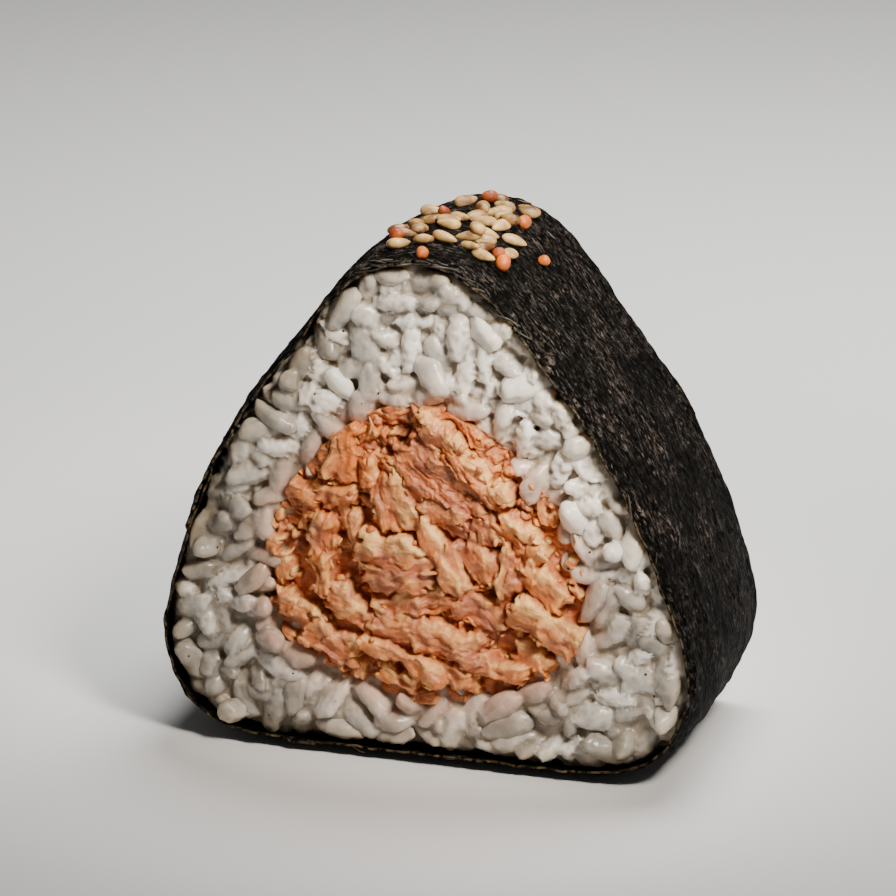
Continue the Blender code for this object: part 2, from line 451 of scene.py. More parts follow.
GLASSY = 0.12  # taken off every tint
PAINTED_LIGHT_SLOPE = (8.0, 13.0)  # painted light: tint gained for each metre to the right and upwards, which paints the rice darker towards the left and the bottom as shade
HANG_ROOM = 0.9 * MM  # more room under the folded front and back edges of the nori
FOLD_FROM, FOLD_WIDTH = 14.5 * MM, 3.5 * MM  # where the edges fold, from the middle plane


def grain_form(kind):
    """The outline of one kind of cooked grain: plump, bent, dented, some with a broken end."""
    seed = GRAIN_SEED + kind
    draw = np.random.default_rng(seed)
    taper, bend = draw.uniform(-0.22, 0.22), draw.uniform(-0.08, 0.10)
    plump = draw.uniform(0.55, 0.85)
    chip = draw.uniform(0.2, 0.5) if kind % 3 == 2 else 0.0
    way, groove_at = draw.uniform(0, math.tau, 2)
    flat_at = draw.uniform(0.6, 0.95)
    half = GRAIN_LENGTH / 2

    def shaped(along, angle):
        radius = np.sqrt(np.maximum(0, 1 - along**2)) ** plump * (1 + taper * along)
        groove = 1 - 0.16 * np.exp(-(((angle - groove_at) % math.tau) / 0.5) ** 2) * (1 - along**2)
        x = along * half * (1 - chip * 0.5 * (np.cos(angle - way) + 1) * (along > 0.2))
        y = np.cos(angle) * radius * groove * half * GRAIN_PLUMP
        z = np.sin(angle) * radius * groove * half * GRAIN_PLUMP * GRAIN_FLAT + bend * x * along
        points = np.column_stack([x, y, z])
        # Pressed flat against a neighbour on two sides.
        for turned in (way, way + 2.3):
            side = np.array([0, math.cos(turned), math.sin(turned)])
            reach = points @ (side + (0.2, 0, 0)) / (half * GRAIN_PLUMP)
            points -= np.maximum(0, reach - flat_at)[:, None] * 0.8 * half * GRAIN_PLUMP * side
        dents = 0.18 * rough(points, 2.8 * MM, seed) + 0.10 * rough(points, 1.4 * MM, seed + 1)
        return points * (1 + dents[:, None])

    return shaped


def face_depths(side):
    """A table of how far from the middle plane the rice's face lies, over the whole ball."""
    xs, zs, flat = flat_grid(rice_low, rice_high, FACE_STEP)
    level = max(-rice_low.y, rice_high.y)
    depths = np.full(flat.shape[:2], np.nan)
    for place in np.ndindex(depths.shape):
        start = Vector((flat[place][0], side * 2 * level, flat[place][2]))
        hit = rice_solid.ray_cast(start, Vector((0, -side, 0)), 1.9 * level)[0]
        if hit is not None:
            depths[place] = abs(hit.y)
    depths[np.isnan(depths)] = np.nanmedian(depths)
    return xs, zs, depths


def from_salmon(points):
    """How far outside the salmon's outline points lie."""
    return radius_of(points) - salmon_wall(angle_of(points))


def from_band(points):
    """How far inside the nori points lie, folded edges and all."""
    folded = HANG_ROOM * smooth_step((np.abs(points[..., 1]) - FOLD_FROM) / FOLD_WIDTH)
    return band_radius(angle_of(points), points[..., 1]) - folded - radius_of(points)


def outwards_from_axis(points):
    """Unit directions away from the axis."""
    angle = angle_of(points)
    return np.stack([np.cos(angle), np.zeros_like(angle), np.sin(angle)], axis=-1)


SPRINKLES, TRIES = 60, 220  # rounds of strewing points, and points strewn in each


def sprinkled(draw, spacing, hem):
    """Points of a face, at least spacing apart, that clear the salmon by hem and the nori."""
    kept = np.zeros((0, 3))
    for _ in range(SPRINKLES):
        tried = draw.uniform((rice_low.x, 0, rice_low.z), (rice_high.x, 0, rice_high.z), (TRIES, 3))
        for point in tried[(from_salmon(tried) > hem) & (from_band(tried) > NORI_ROOM)]:
            if len(kept) == 0 or np.hypot(*(kept - point)[:, [0, 2]].T).min() > spacing:
                kept = np.vstack([kept, point])
    return kept


def settled(side, table, draw):
    """Grains pressed against each other over one face: places, axes, lengths and depths.

    Each grain is three balls in a row, pushed out of its neighbours and of the nori.
    """
    places, depths = [], []
    for depth, spacing in LAYERS:
        hem = SALMON_HEM - max(0, depth) * 0.8
        layer = sprinkled(draw, spacing * MM, hem)
        places.append(layer)
        depths.append(np.full(len(layer), depth))
    places, depths = np.vstack(places), np.concatenate(depths)
    count = len(places)
    depths += draw.normal(0, 0.25 * MM, count)
    lengths = GRAIN_LENGTH * np.clip(draw.normal(1, 0.10, count), 0.78, 1.2)
    radii = lengths / 2 * GRAIN_PLUMP * (1 + GRAIN_FLAT) / 2
    heading = draw.uniform(0, math.tau, count)
    lean = draw.normal(0, 0.38, count)
    level = np.cos(lean)
    axes = np.column_stack([np.cos(heading) * level, np.sin(lean), np.sin(heading) * level])
    places[:, 1] = side * (gridded(table, places) - radii * 0.95 - depths)
    uneven = 1.8 * draw.normal(size=count) * (depths < 1.5 * MM)
    hems = SALMON_HEM * (1 + uneven) - np.maximum(0, depths)
    owner = np.repeat(np.arange(count), 3)
    other = owner[:, None] != owner[None, :]
    full = np.repeat(radii, 3) * np.tile([0.82, 1.0, 0.82], count)
    reach = (full[:, None] + full[None, :]) * SQUEEZE
    offsets = (lengths / 2 - radii * 0.85)[:, None] * np.array([-1, 0, 1])
    for _ in range(PACK_STEPS):
        balls = (places[:, None] + axes[:, None] * offsets[:, :, None]).reshape(-1, 3)
        apart = balls[:, None] - balls[None]
        distance = np.sqrt(np.einsum("ijk,ijk->ij", apart, apart)) + 1e-9
        push = np.where(other, np.maximum(0, reach - distance), 0) / distance
        moves = np.einsum("ijk,ij->ik", apart, push) * PUSHED
        past = np.maximum(0, full + WALL_GAP - from_band(balls))
        moves -= outwards_from_axis(balls) * past[:, None]
        moves = moves.reshape(-1, 3, 3)
        places += moves.mean(1)
        axes += (moves[:, 2] - moves[:, 0]) / lengths[:, None] * TURNED
        axes /= np.linalg.norm(axes, axis=1)[:, None]
        wanted = side * (gridded(table, places) - radii * 0.95 - depths)
        places[:, 1] += (wanted - places[:, 1]) * DRAWN
        outward = outwards_from_axis(places)
        places += outward * np.maximum(0, hems - from_salmon(places))[:, None] * HEMMED
    reached = axes[:, None] * (lengths * 0.5)[:, None, None] * np.array([-1, 0, 1])[:, None]
    tips_clear = from_band(places[:, None] + reached).min(axis=1)
    inside = np.minimum(tips_clear, from_band(places) - radii) > 0
    return places[inside], axes[inside], lengths[inside], depths[inside]


def grains_laid(name, side, laid, draw, material):
    """Grains at the given places, each with its own tint."""
    places, axes, lengths, _ = laid
    count = len(places)
    shapes = templates("grain", GRAIN_KINDS, *GRAIN_SHAPE, grain_form)
    turns = [turn_to(a, (0, side, 0), r) for a, r in zip(axes, draw.normal(0, 0.8, count))]
    scale = (lengths / GRAIN_LENGTH)[:, None] * draw.normal(1, 0.06, (count, 3))
    drift = 0.35 * rough(places, 10 * MM, 71) - GLASSY
    # Painted shade: the tints fall towards the left and the bottom.
    drift += (places - np.array(middle))[:, [0, 2]] @ PAINTED_LIGHT_SLOPE
    values = {"tint": np.clip(draw.beta(0.8, 0.8, count) + drift, 0, 1)}
    kinds = draw.integers(0, GRAIN_KINDS, count)
    return scatter(name, shapes, places, kinds, turns, scale, material, values)


SKIN_CELL = 0.27 * MM
SKIN_TRIANGLES = 190_000
BED_TOP, BED_FLOOR = 2.2 * MM, 6.0 * MM  # the starchy bed that the grains stick to, under the face
BED_RISE = 1.6 * MM
CRUMPLE = 0.16 * MM
HOLLOW_ROUNDS = 14  # rounds of smoothing that fill the grooves between grains
HOLLOW_DEPTH = 0.22 * MM


def ring(name, rows):
    """A closed solid whose section is the loop of rows, each row running round the ball."""
    index = np.arange(len(rows) * len(rows[0])).reshape(len(rows), -1)
    points = np.vstack(rows)
    faces = grid_faces(index, close_rows=True, close_columns=True)
    return make_piece(name, points, outwards(faces, points))


CORE_ANGLES = np.linspace(0, math.tau, 260, endpoint=False)
core_hole = salmon_wall(CORE_ANGLES) - 0.4 * MM  # bed and core reach a little into the salmon


def across_face(side, table, shares, depth, rise=0.0):
    """Rows from the salmon to the nori, a depth under the face that lessens by rise at the nori."""
    wall = rice_wall(CORE_ANGLES, side * STRAIGHT_DEPTH)
    rows = []
    for share in shares:
        flat = about_axis(CORE_ANGLES, core_hole + (wall - core_hole) * share, 0.0)
        flat[:, 1] = side * (gridded(table, flat) - depth + rise * smooth_step((share - 0.6) / 0.35))
        rows.append(flat)
    return rows


def joined(name, parts):
    """One closed skin round all the parts, softened where they stick together."""
    whole = bmesh.new()
    for part in parts:
        whole.from_mesh(part.data)
    piece = make_piece(name, [], [])
    whole.to_mesh(piece.data)
    whole.free()
    with_modifier(piece, "REMESH", mode="VOXEL", voxel_size=SKIN_CELL)
    drop_hollows(piece)
    with_modifier(piece, "SMOOTH", iterations=2)
    return piece


def drop_hollows(piece):
    """Removes the closed hollows between grains: every part not linked to the outermost point."""
    mesh = piece.data
    first, second = edge_ends(mesh).T
    label = np.arange(len(mesh.vertices))
    while not np.array_equal(label[first], label[second]):
        lowest = np.minimum(label[first], label[second])
        np.minimum.at(label, label[first], lowest)
        np.minimum.at(label, label[second], lowest)
        label = label[label]
    kept = label == label[positions(mesh)[:, 2].argmax()]
    whole = bmesh.new()
    whole.from_mesh(mesh)
    lost = [v for v, keep in zip(whole.verts, kept) if not keep]
    bmesh.ops.delete(whole, geom=lost, context="VERTS")
    whole.to_mesh(mesh)
    whole.free()


def nearest_values(points, source, name):
    """The named value of the source's nearest point, for each point."""
    places = positions(source)
    tree = KDTree(len(places))
    for i, place in enumerate(places):
        tree.insert(place, i)
    tree.balance()
    return read(source.attributes[name].data, "value")[[tree.find(point)[1] for point in points]]


def crumple(mesh, tint):
    """Wrinkles a skin, most of all where its grains are milky."""
    points = positions(mesh)
    creased = 0.5 - 2.2 * np.abs(rough(points, 1.5 * MM, 81)) + 0.7 * rough(points, 0.7 * MM, 82)
    points += normals(mesh) * (CRUMPLE * (0.2 + tint) * creased)[:, None]
    mesh.vertices.foreach_set("co", points.ravel())


def hollows(mesh):
    """How far each point lies in a groove, from 0 on a ridge to 1 in a deep one."""
    points = positions(mesh)
    ends = edge_ends(mesh)
    start, end = np.concatenate([ends, ends[:, ::-1]]).T
    links = np.bincount(start, minlength=len(points))
    filled = points.copy()
    for _ in range(HOLLOW_ROUNDS):
        around = [np.bincount(start, filled[end, i], len(points)) for i in range(3)]
        filled = (filled + np.column_stack(around) / links[:, None]) / 2
    depth = ((filled - points) * normals(mesh)).sum(axis=1)
    return smooth_step(0.5 + depth / (2 * HOLLOW_DEPTH))


def fading(distance, clear, reach):
    """From 1 as far as clear, down towards 0 over a few times reach."""
    return np.exp(-np.maximum(0, distance - clear) / reach)


def set_surroundings(mesh, points, table):
    """Values for how near the salmon and the nori a point is, how deep among the grains and how far in
    a groove. The rice's material paints shade by all but the nearness to the salmon, and a highlight
    on the ridges.
    """
    under = gridded(table, points) - np.abs(points[:, 1])
    values = {
        "blush": fading(from_salmon(points), 0.8 * MM, 2.2 * MM),
        # Painted shade beside the nori's edge.
        "rim": fading(from_band(points), 0.6 * MM, 1.6 * MM),
        # Painted shade deep among the grains.
        "deep": smooth_step((under - 0.7 * MM) / (1.9 * MM)),
        # Painted shade in the grooves and painted highlight on the ridges, in the material.
        "hollow": hollows(mesh),
    }
    set_values(mesh, values)


def rice_face(name, side, table, seed, material):
    """One face of the ball: grains stuck together, and a few that lie loose on them."""
    draw = np.random.default_rng(seed)
    laid = settled(side, table, draw)
    loose = laid[3] < LOOSE_ABOVE
    stuck = grains_laid("stuck", side, [part[~loose] for part in laid], draw, material)
    shares = np.linspace(0, 1, 12)
    top, under = (across_face(side, table, shares, d, BED_RISE) for d in (BED_TOP, BED_FLOOR))
    bed = ring("bed", top + under[::-1])
    skin = joined(name, [stuck, bed])
    crumple(skin.data, nearest_values(positions(skin.data), stuck.data, "tint"))
    with_modifier(skin, "DECIMATE", ratio=SKIN_TRIANGLES / (2 * len(skin.data.polygons)))
    points = positions(skin.data)
    set_values(skin.data, {"tint": nearest_values(points, stuck.data, "tint")})
    set_surroundings(skin.data, points, table)
    skin.data.materials.append(material)
    for done in (stuck, bed):
        bpy.data.objects.remove(done)
    over = grains_laid(name + "_loose", side, [part[loose] for part in laid], draw, material)
    crumple(over.data, np.ones(len(over.data.vertices)))
    set_surroundings(over.data, positions(over.data), table)
    return [skin, over]


CORE_WALL = 8  # rows between the core's front and back
CORE_SUNK = 4.4 * MM  # how far the core lies under the face


def rice_core(tables, material):
    """The rice behind the grains: a ring between the salmon and the nori."""
    shares = np.linspace(0, 1, 14)
    front, back = (across_face(side, tables[side], shares, CORE_SUNK) for side in (FRONT, BACK))
    heights = np.linspace(-1, 1, CORE_WALL + 2)[1:-1] * STRAIGHT_DEPTH
    inside = [about_axis(CORE_ANGLES, core_hole, y * 0.8) for y in heights]
    outside = [about_axis(CORE_ANGLES, rice_wall(CORE_ANGLES, y), y) for y in heights[::-1]]
    core = ring("rice_core", front[::-1] + inside + back + outside)
    core.data.materials.append(material)
    return core


# ---- Salmon ------------------------------------------------------------------------------------

# The large flakes of each face: x, z, length and width in millimetres, the heading of the fibres in
# degrees, the level of the top against SALMON_TOP and how much its upper side stands above its
# lower, both in millimetres, how orange it is, and how pale its upper side is: cream fat that is
# also a painted highlight where the light from above falls.
FLAKES = (
    (2.4, 42.6, 15.5, 10.0, -36, -0.2, 0.9, 0.25, 0.2),
    (6.0, 46.4, 17.0, 3.9, -44, 0.7, 0.5, 0.60, 1.0),
    (-4.6, 39.3, 8.5, 6.6, -72, 0.1, 0.6, 0.35, 0.9),
    (-4.2, 31.2, 11.0, 7.0, -8, 0.5, 0.9, 0.15, 1.0),
    (-4.0, 28.0, 11.0, 4.0, -6, 0.1, 0.4, 0.10, 0.4),
    (3.3, 38.5, 7.5, 3.9, -8, -0.1, 0.4, 0.10, 0.5),
    (2.6, 32.2, 11.5, 3.0, -62, 0.8, 0.3, 0.30, 0.8),
    (5.2, 30.6, 8.0, 2.6, -70, 0.5, 0.3, 0.20, 0.5),
    (-11.7, 46.0, 7.6, 4.4, -98, 0.0, 0.5, 0.95, 0.5),
    (-8.1, 43.4, 4.8, 3.4, -84, -0.3, 0.3, 0.85, 0.4),
    (-18.3, 39.3, 5.8, 3.0, -24, -0.8, 0.2, 0.95, 0.2),
    (-12.6, 39.2, 6.6, 3.8, 14, -0.4, 0.5, 0.80, 0.4),
    (-14.9, 33.2, 7.4, 4.4, -97, -0.7, 0.4, 0.50, 0.3),
    (-10.6, 34.6, 5.4, 3.2, -70, -0.6, 0.4, 0.40, 0.5),
    (-15.0, 27.6, 7.0, 3.8, -78, -0.3, 0.4, 1.00, 0.3),
    (-21.3, 28.0, 5.0, 3.4, -81, -1.0, 0.2, 0.60, 1.0),
    (-19.6, 21.8, 7.4, 4.0, -31, -0.6, 0.4, 0.55, 0.8),
    (-13.8, 17.3, 11.0, 5.4, -22, -0.3, 0.5, 0.35, 0.5),
    (-10.9, 22.6, 8.0, 4.4, -40, 0.0, 0.6, 0.45, 0.7),
    (-1.4, 24.3, 13.0, 4.8, 20, -0.3, 0.5, 0.25, 0.6),
    (0.4, 19.8, 17.5, 5.6, -14, 0.2, 0.8, 0.20, 0.4),
    (-3.0, 16.2, 14.0, 3.4, -22, 0.6, 0.5, 0.85, 0.6),
    (8.2, 24.2, 8.5, 5.4, -27, -0.9, 0.2, 0.15, 0.2),
    (13.2, 36.8, 6.6, 4.0, -38, 0.1, 0.3, 1.00, 0.9),
    (16.4, 33.6, 5.0, 3.2, -52, -0.2, 0.3, 0.95, 0.7),
    (13.0, 30.6, 6.8, 3.6, -93, 0.1, 0.5, 0.50, 0.7),
    (17.4, 29.0, 9.0, 4.0, -47, 0.0, 0.6, 0.90, 0.7),
    (18.2, 22.9, 10.8, 4.8, -30, 0.4, 0.9, 0.60, 1.0),
    (10.6, 15.6, 9.6, 3.8, -6, -0.5, 0.4, 0.85, 0.6),
    (4.0, 14.2, 7.0, 3.4, -14, -0.8, 0.3, 0.60, 0.5),
    (-3.8, 12.6, 6.4, 3.2, -18, -0.8, 0.3, 0.70, 0.7),
    (6.6, 51.0, 7.2, 3.8, -38, -0.9, 0.3, 1.00, 0.4),
    (0.6, 50.6, 6.0, 3.6, -66, -0.8, 0.3, 0.50, 0.5),
    (9.6, 36.4, 6.0, 4.4, -60, -0.4, 0.4, 0.20, 0.4),
    (8.2, 32.0, 7.0, 4.6, -46, -0.5, 0.4, 0.20, 0.3),
    (15.8, 17.6, 5.4, 3.4, -24, -1.2, 0.3, 0.50, 0.5),
)
SALMON_TOP = 19.5 * MM  # the large flakes' level, from the middle plane
SALMON_BED = 16.5 * MM  # the level between the flakes
SALMON_SQUARES = 236  # across each face
SALMON_SIDE = 9  # rows of the side wall of each half
SCRAPS = 170  # small flakes between the large ones
CRUMBLES = 420  # the smallest lumps
TABLE_STEP = 0.22 * MM  # between the stations of the tables of relief
WIDE = 4  # millimetres: a flake at least this wide has its full relief
SOFT_CORNER = 0.30 * MM  # how round the corners of a flake's outline are
EDGE_ROUND, EDGE_DROP = 0.8 * MM, 1.7 * MM  # how far in a flake's edge is rounded, and its fall


def torn_flake(moved, flake, number):
    """One flake from its face: height (-1 off it), place along and across its fibres, paleness.
    The paleness of its upper side is cream fat and also a painted highlight.
    """
    x, z, length, width, heading, level, rise, _, pale = flake
    turned = math.radians(heading)
    if math.cos(turned) < 0:
        turned += math.pi
    away = moved - np.array([x, z]) * MM
    along = away @ np.array([math.cos(turned), math.sin(turned)])
    across = away @ np.array([-math.sin(turned), math.cos(turned)])
    size = min(1.0, width / WIDE)
    fray = 0.8 * line(across, 0.95 * MM, number) + 0.5 * line(across, 0.4 * MM, number + 1)
    wander = 0.5 * line(along, 2.2 * MM, number + 2) + 0.35 * line(along, 0.7 * MM, number + 3)
    ends = (length / 2) * MM + size * MM * fray - np.abs(along)
    sides = (width / 2) * MM + size * MM * wander - np.abs(across)
    soft = SOFT_CORNER * size
    inside = -soft * np.logaddexp(-ends / soft, -sides / soft)
    edge = np.sqrt(1 - (1 - np.clip(inside / (EDGE_ROUND * (0.4 + 0.6 * size)), 0, 1)) ** 2)
    over = across / (width / 2 * MM)
    crown = 0.35 * size * (1 - over**2) + rise * 0.5 * over
    top = SALMON_TOP + (level + crown) * MM
    height = np.where(inside > 0, top - (1 - edge) * EDGE_DROP, -1)
    return height, along, across, smooth_step((over + 0.1) / 0.9) * pale


def salmon_scraps(draw):
    """Small flakes and crumbles at random, lower than the large flakes, in the same terms."""
    made = []
    for number in range(SCRAPS + CRUMBLES):
        small = number >= SCRAPS
        angle = draw.uniform(0, math.tau)
        radius = salmon_wall(angle) / MM * math.sqrt(draw.uniform(0, 1))
        length = draw.uniform(0.8, 2.2) if small else draw.uniform(2.6, 6.0)
        made.append(
            (
                middle.x / MM + radius * math.cos(angle),
                middle.z / MM + radius * math.sin(angle),
                length,
                length * draw.uniform(0.5, 0.9) if small else draw.uniform(1.3, 2.8),
                draw.normal(-40, 45),
                draw.uniform(-3.0, -0.5) if small else draw.uniform(-3.2, -1.0),
                draw.uniform(-0.3, 0.5),
                draw.uniform(0.1, 1.0),
                draw.uniform(0.0, 0.9),
            )
        )
    return made


def flaked(flat, flakes, seed):
    """The relief that all the flakes make over flat points, with what their material reads."""
    sway = 0.75 * rough(flat, 3.0 * MM, seed)
    heave = 0.7 * rough(flat, 3.4 * MM, seed + 1) + 0.32 * rough(flat, 1.1 * MM, seed + 2)
    moved = flat[:, [0, 2]] + MM * np.column_stack([sway, heave])
    height = SALMON_BED + 0.7 * MM * layered(flat, 2.4 * MM, seed, 3)
    fibre = np.column_stack([moved, np.zeros(len(flat))])
    orange, pale, heading, size = (np.full(len(flat), v) for v in (0.6, 0.0, 0.0, 0.5))
    for number, flake in enumerate(flakes):
        reach = (math.hypot(flake[2], flake[3]) / 2 + 0.9) * MM
        beside = np.abs(moved[:, 0] - flake[0] * MM) < reach
        near = np.flatnonzero(beside & (np.abs(moved[:, 1] - flake[1] * MM) < reach))
        tops, along, across, paler = torn_flake(moved[near], flake, seed + number)
        above = tops > height[near]
        on = near[above]
        height[on] = tops[above]
        apart = np.full(len(on), number * 1.3 * MM)
        fibre[on] = np.column_stack([along[above], across[above], apart])
        pale[on] = paler[above]
        orange[on], heading[on], size[on] = flake[7], math.radians(flake[4]), min(1.0, flake[3] / WIDE)
    bent = 0.7 * MM * rough(fibre, 3.0 * MM, seed + 3)
    strip, thin = fibre / np.array([4.2, 1.0, 1.0]), fibre / np.array([2.2, 0.42, 1.0])
    strip[:, 1] += bent
    thin[:, 1] += bent * 2.5
    fibrous = smooth_step(0.5 + 0.9 * rough(fibre, 4.0 * MM, seed + 8))
    ridge = 0.42 * rough(strip, MM, seed + 4) * (0.4 + 0.8 * fibrous)
    ridge += 0.24 * rough(thin, MM, seed + 5) * fibrous
    shingle = fibre[:, 1] / (2.3 * MM) + 0.9 * rough(fibre, 4.0 * MM, seed + 6)
    shingle = (shingle - np.floor(shingle)) * 0.40 * (size > 0.8)
    shingle *= smooth_step(rough(fibre, 5 * MM, seed + 9) + 0.5)
    lumps = 0.85 * layered(fibre, 3.8 * MM, seed + 7, 2)
    lumps = (lumps + 0.20 * layered(fibre, 1.1 * MM, seed + 10, 2)) * size
    crumbly = 0.20 * np.abs(rough(flat, 0.75 * MM, seed + 11)) * (1.2 - fibrous)
    height += (ridge * (0.4 + 0.6 * size) + shingle + lumps + crumbly) * MM
    return {"height": height, "fibre": fibre, "orange": orange, "pale": pale, "heading": heading}


def into_outline():
    """A square grid of flat points drawn into the salmon's outline."""
    stations = np.linspace(-1, 1, SALMON_SQUARES)
    u, v = np.meshgrid(stations, stations, indexing="ij")
    x, z = u * np.sqrt(1 - v * v / 2), v * np.sqrt(1 - u * u / 2)
    angle = np.arctan2(z, x)
    return about_axis(angle, salmon_wall(angle) * np.hypot(x, z), 0.0)


def drawn_to_steps(flat, table, rounds=24):
    """Flat points moved towards steep places, so that each square covers about as much surface."""
    for _ in range(rounds):
        full = flat.copy()
        full[..., 1] = gridded(table, flat)
        inner = full[1:-1, 1:-1]
        total, weights = 0, 0
        for beside in (full[:-2, 1:-1], full[2:, 1:-1], full[1:-1, :-2], full[1:-1, 2:]):
            weight = np.linalg.norm(beside - inner, axis=-1, keepdims=True)
            total = total + beside * weight
            weights = weights + weight
        moved = total / weights
        flat[1:-1, 1:-1, [0, 2]] += 0.5 * (moved - inner)[..., [0, 2]]
    return flat


def softened(table, reach):
    """The table averaged over squares of reach cells to each side."""
    for axis in (0, 1):
        pad = [(0, 0), (0, 0)]
        pad[axis] = (reach + 1, reach)
        run = np.cumsum(np.pad(table, pad, mode="edge"), axis=axis)
        span = 2 * reach + 1
        count = table.shape[axis]
        table = (run.take(range(span, span + count), axis) - run.take(range(count), axis)) / span
    return table


SIDE_SHADE = (0.6, 0.0, -0.6)  # how orange, how pale and how raised the sides are; so little raised that they get painted shade


def salmon_half(name, side, relief_table, flakes, seed, material):
    """Half of the salmon: its flaked face, its side and a flat end in the middle of the ball."""
    flat = drawn_to_steps(into_outline(), relief_table)
    shape = flat.shape[:2]
    relief = flaked(flat.reshape(-1, 3), flakes, seed)
    height = relief["height"].reshape(shape)
    flat[..., 1] = side * height
    # How far each point stands above its surroundings, by which the material paints highlight and
    # shade.
    raised = (height - softened(height, 9)) / MM + 1.5 * (height - softened(height, 2)) / MM
    points = flat.reshape(-1, 3)
    face = np.arange(len(points)).reshape(shape)
    border = np.concatenate([face[:, 0], face[-1, 1:], face[-2::-1, -1], face[0, -2:0:-1]])
    rows = [points[border] * (1, share, 1) for share in np.linspace(1, 0, SALMON_SIDE + 1)[1:]]
    wall = len(points) + np.arange(len(rows) * len(border)).reshape(len(rows), -1)
    shade = np.column_stack([relief["orange"], relief["pale"], raised.ravel()])
    shade = np.vstack([shade, np.tile(SIDE_SHADE, (wall.size, 1))])
    fibre = np.vstack([relief["fibre"], *rows])
    wall_faces = grid_faces(np.vstack([border, wall]), close_columns=True)
    sheets = [grid_faces(face), wall_faces, wall[-1:, ::-1]]
    if side == BACK:
        sheets = [sheet[:, ::-1] for sheet in sheets]
    faces = [f for sheet in sheets for f in sheet.tolist()]
    half = make_piece(name, np.vstack([points, *rows]), faces, {"fibre": fibre, "shade": shade})
    half.data.materials.append(material)
    return half


CRUMBS, SHREDS = 150, 70  # loose bits on each face
CRUMB_KINDS, SHRED_KINDS = 4, 3
CRUMB_SIZE = 1.0 * MM
SHRED_LENGTH, SHRED_WIDTH = 2.2 * MM, 0.62 * MM
TRIED_SPOTS = 6  # the steepest of these is taken


def crumb_form(number):
    return lump_form(CRUMB_SIZE * np.array([1, 1, 0.8]), 0.5, 0.5 * MM, number)


def shred_form(number):
    bend, lift = (0.35 * MM, 1.5 * MM), (0.25 * MM, 1.2 * MM)
    return strand_form(SHRED_LENGTH, SHRED_WIDTH, 3, 0.7, bend, lift, number + 20)


def loose_bits(relief_tables, material):
    """Crumbs in the hollows and torn fibres along the flakes, on both faces."""
    draw = np.random.default_rng(83)
    places, turns, kinds, sizes, shades = [], [], [], [], []
    for side, (height, step, heading) in relief_tables.items():
        for number in range(CRUMBS + SHREDS):
            shred = number >= CRUMBS
            spots = []
            for _ in range(TRIED_SPOTS):
                angle = draw.uniform(0, math.tau)
                radius = salmon_wall(angle) * math.sqrt(draw.uniform(0, 1)) * 0.98
                spots.append(about_axis(angle, radius, 0.0))
            spot = max(spots, key=lambda tried: gridded(step, tried))
            if shred:
                way = gridded(heading, spot) + draw.normal(0, 0.35)
            else:
                way = draw.uniform(0, math.tau)
            spot[1] = side * (gridded(height, spot) + (0.02 if shred else 0.05) * MM)
            axis = (math.cos(way), draw.normal(0, 0.25), math.sin(way))
            places.append(spot)
            turns.append(turn_to(axis, (0, side, 0), draw.uniform(0, math.tau)))
            first, after = (CRUMB_KINDS, CRUMB_KINDS + SHRED_KINDS) if shred else (0, CRUMB_KINDS)
            kinds.append(draw.integers(first, after))
            sizes.append(draw.uniform(0.6, 1.25 if shred else 1.5, 3))
            orange, pale = draw.uniform(0.2, 1.0), draw.uniform(0, 0.9) ** 2
            # The third, how raised, is drawn at random; the material paints highlight or shade by it.
            shades.append((orange, pale, draw.uniform(-0.5, 0.6)))
    shapes = templates("crumb", CRUMB_KINDS, 4, 6, crumb_form)
    shapes += templates("shred", SHRED_KINDS, 6, 5, shred_form)
    places = np.array(places)
    values = {"fibre": places, "shade": np.array(shades)}
    return scatter("salmon_bits", shapes, places, kinds, turns, np.array(sizes), material, values)


def salmon_filling(material):
    draw = np.random.default_rng(80)
    made, tables = [], {}
    xs, zs, flat = flat_grid(salmon_low, salmon_high, TABLE_STEP)
    for name, side, seed in (("salmon_front", FRONT, 0), ("salmon_back", BACK, 7001)):
        flakes = list(FLAKES) + salmon_scraps(draw)
        relief = flaked(flat.reshape(-1, 3), flakes, seed)
        height = relief["height"].reshape(flat.shape[:2])
        made.append(salmon_half(name, side, (xs, zs, height), flakes, seed, material))
        hollow = np.maximum(0, softened(height, 9) - height)
        step = np.abs(height - softened(height, 3)) + 0.3 * hollow
        heading = relief["heading"].reshape(height.shape)
        tables[side] = ((xs, zs, height), (xs, zs, step), (xs, zs, heading))
    return made + [loose_bits(tables, material)]


# ---- Nori --------------------------------------------------------------------------------------

NORI_THICKNESS = 0.3 * MM
STRIP_STEP = 0.55 * MM
STRIP_ROWS = 96
STRIP_INSET = 0.3 * MM  # how far each edge lies inside the frame's
LAP_CLIMB = 6.0 * MM
BUMP = 0.42 * MM  # how far grains press out through the sheet
CLEAR_OF_GRAINS = 0.1 * MM
CRINKLE = 0.20 * MM
WAVER = 0.5 * MM  # how far the torn edges wander
HANG = 0.9 * MM  # how far the front edge folds over the rice
REACH = 60 * MM  # beyond the ball, from the axis
FLOOR_GAP = 0.02 * MM
EDGE_CROWDING = math.pi / 2 * 0.86  # brings the strip's rows closer together towards its edges
LAP_LIFT = 0.45 * MM
APEX = math.pi / 2 + math.tau  # among the angles of way_round


def way_round():
    """Angles and lengths along the band's inner face, from the lap's start right round past it."""
    angles = np.linspace(lap_from, lap_to + math.tau, 4000)
    points = about_axis(angles, band_radius(angles, 0.0), 0.0)
    steps = np.linalg.norm(np.diff(points, axis=0), axis=1)
    return angles, np.concatenate([[0], np.cumsum(steps)])


def outermost(pieces, angle, y):
    """How far out from the axis the pieces reach, at each angle and depth."""
    found = np.zeros(angle.shape)
    for piece in pieces:
        tree = ray_tree(piece.data)
        for place in np.ndindex(angle.shape):
            out = Vector((math.cos(angle[place]), 0, math.sin(angle[place])))
            start = Vector((middle.x, y[place], middle.z)) + out * REACH
            hit = tree.ray_cast(start, -out, REACH * 0.5)[0]
            if hit is not None:
                found[place] = max(found[place], REACH - (start - hit).length)
    return found


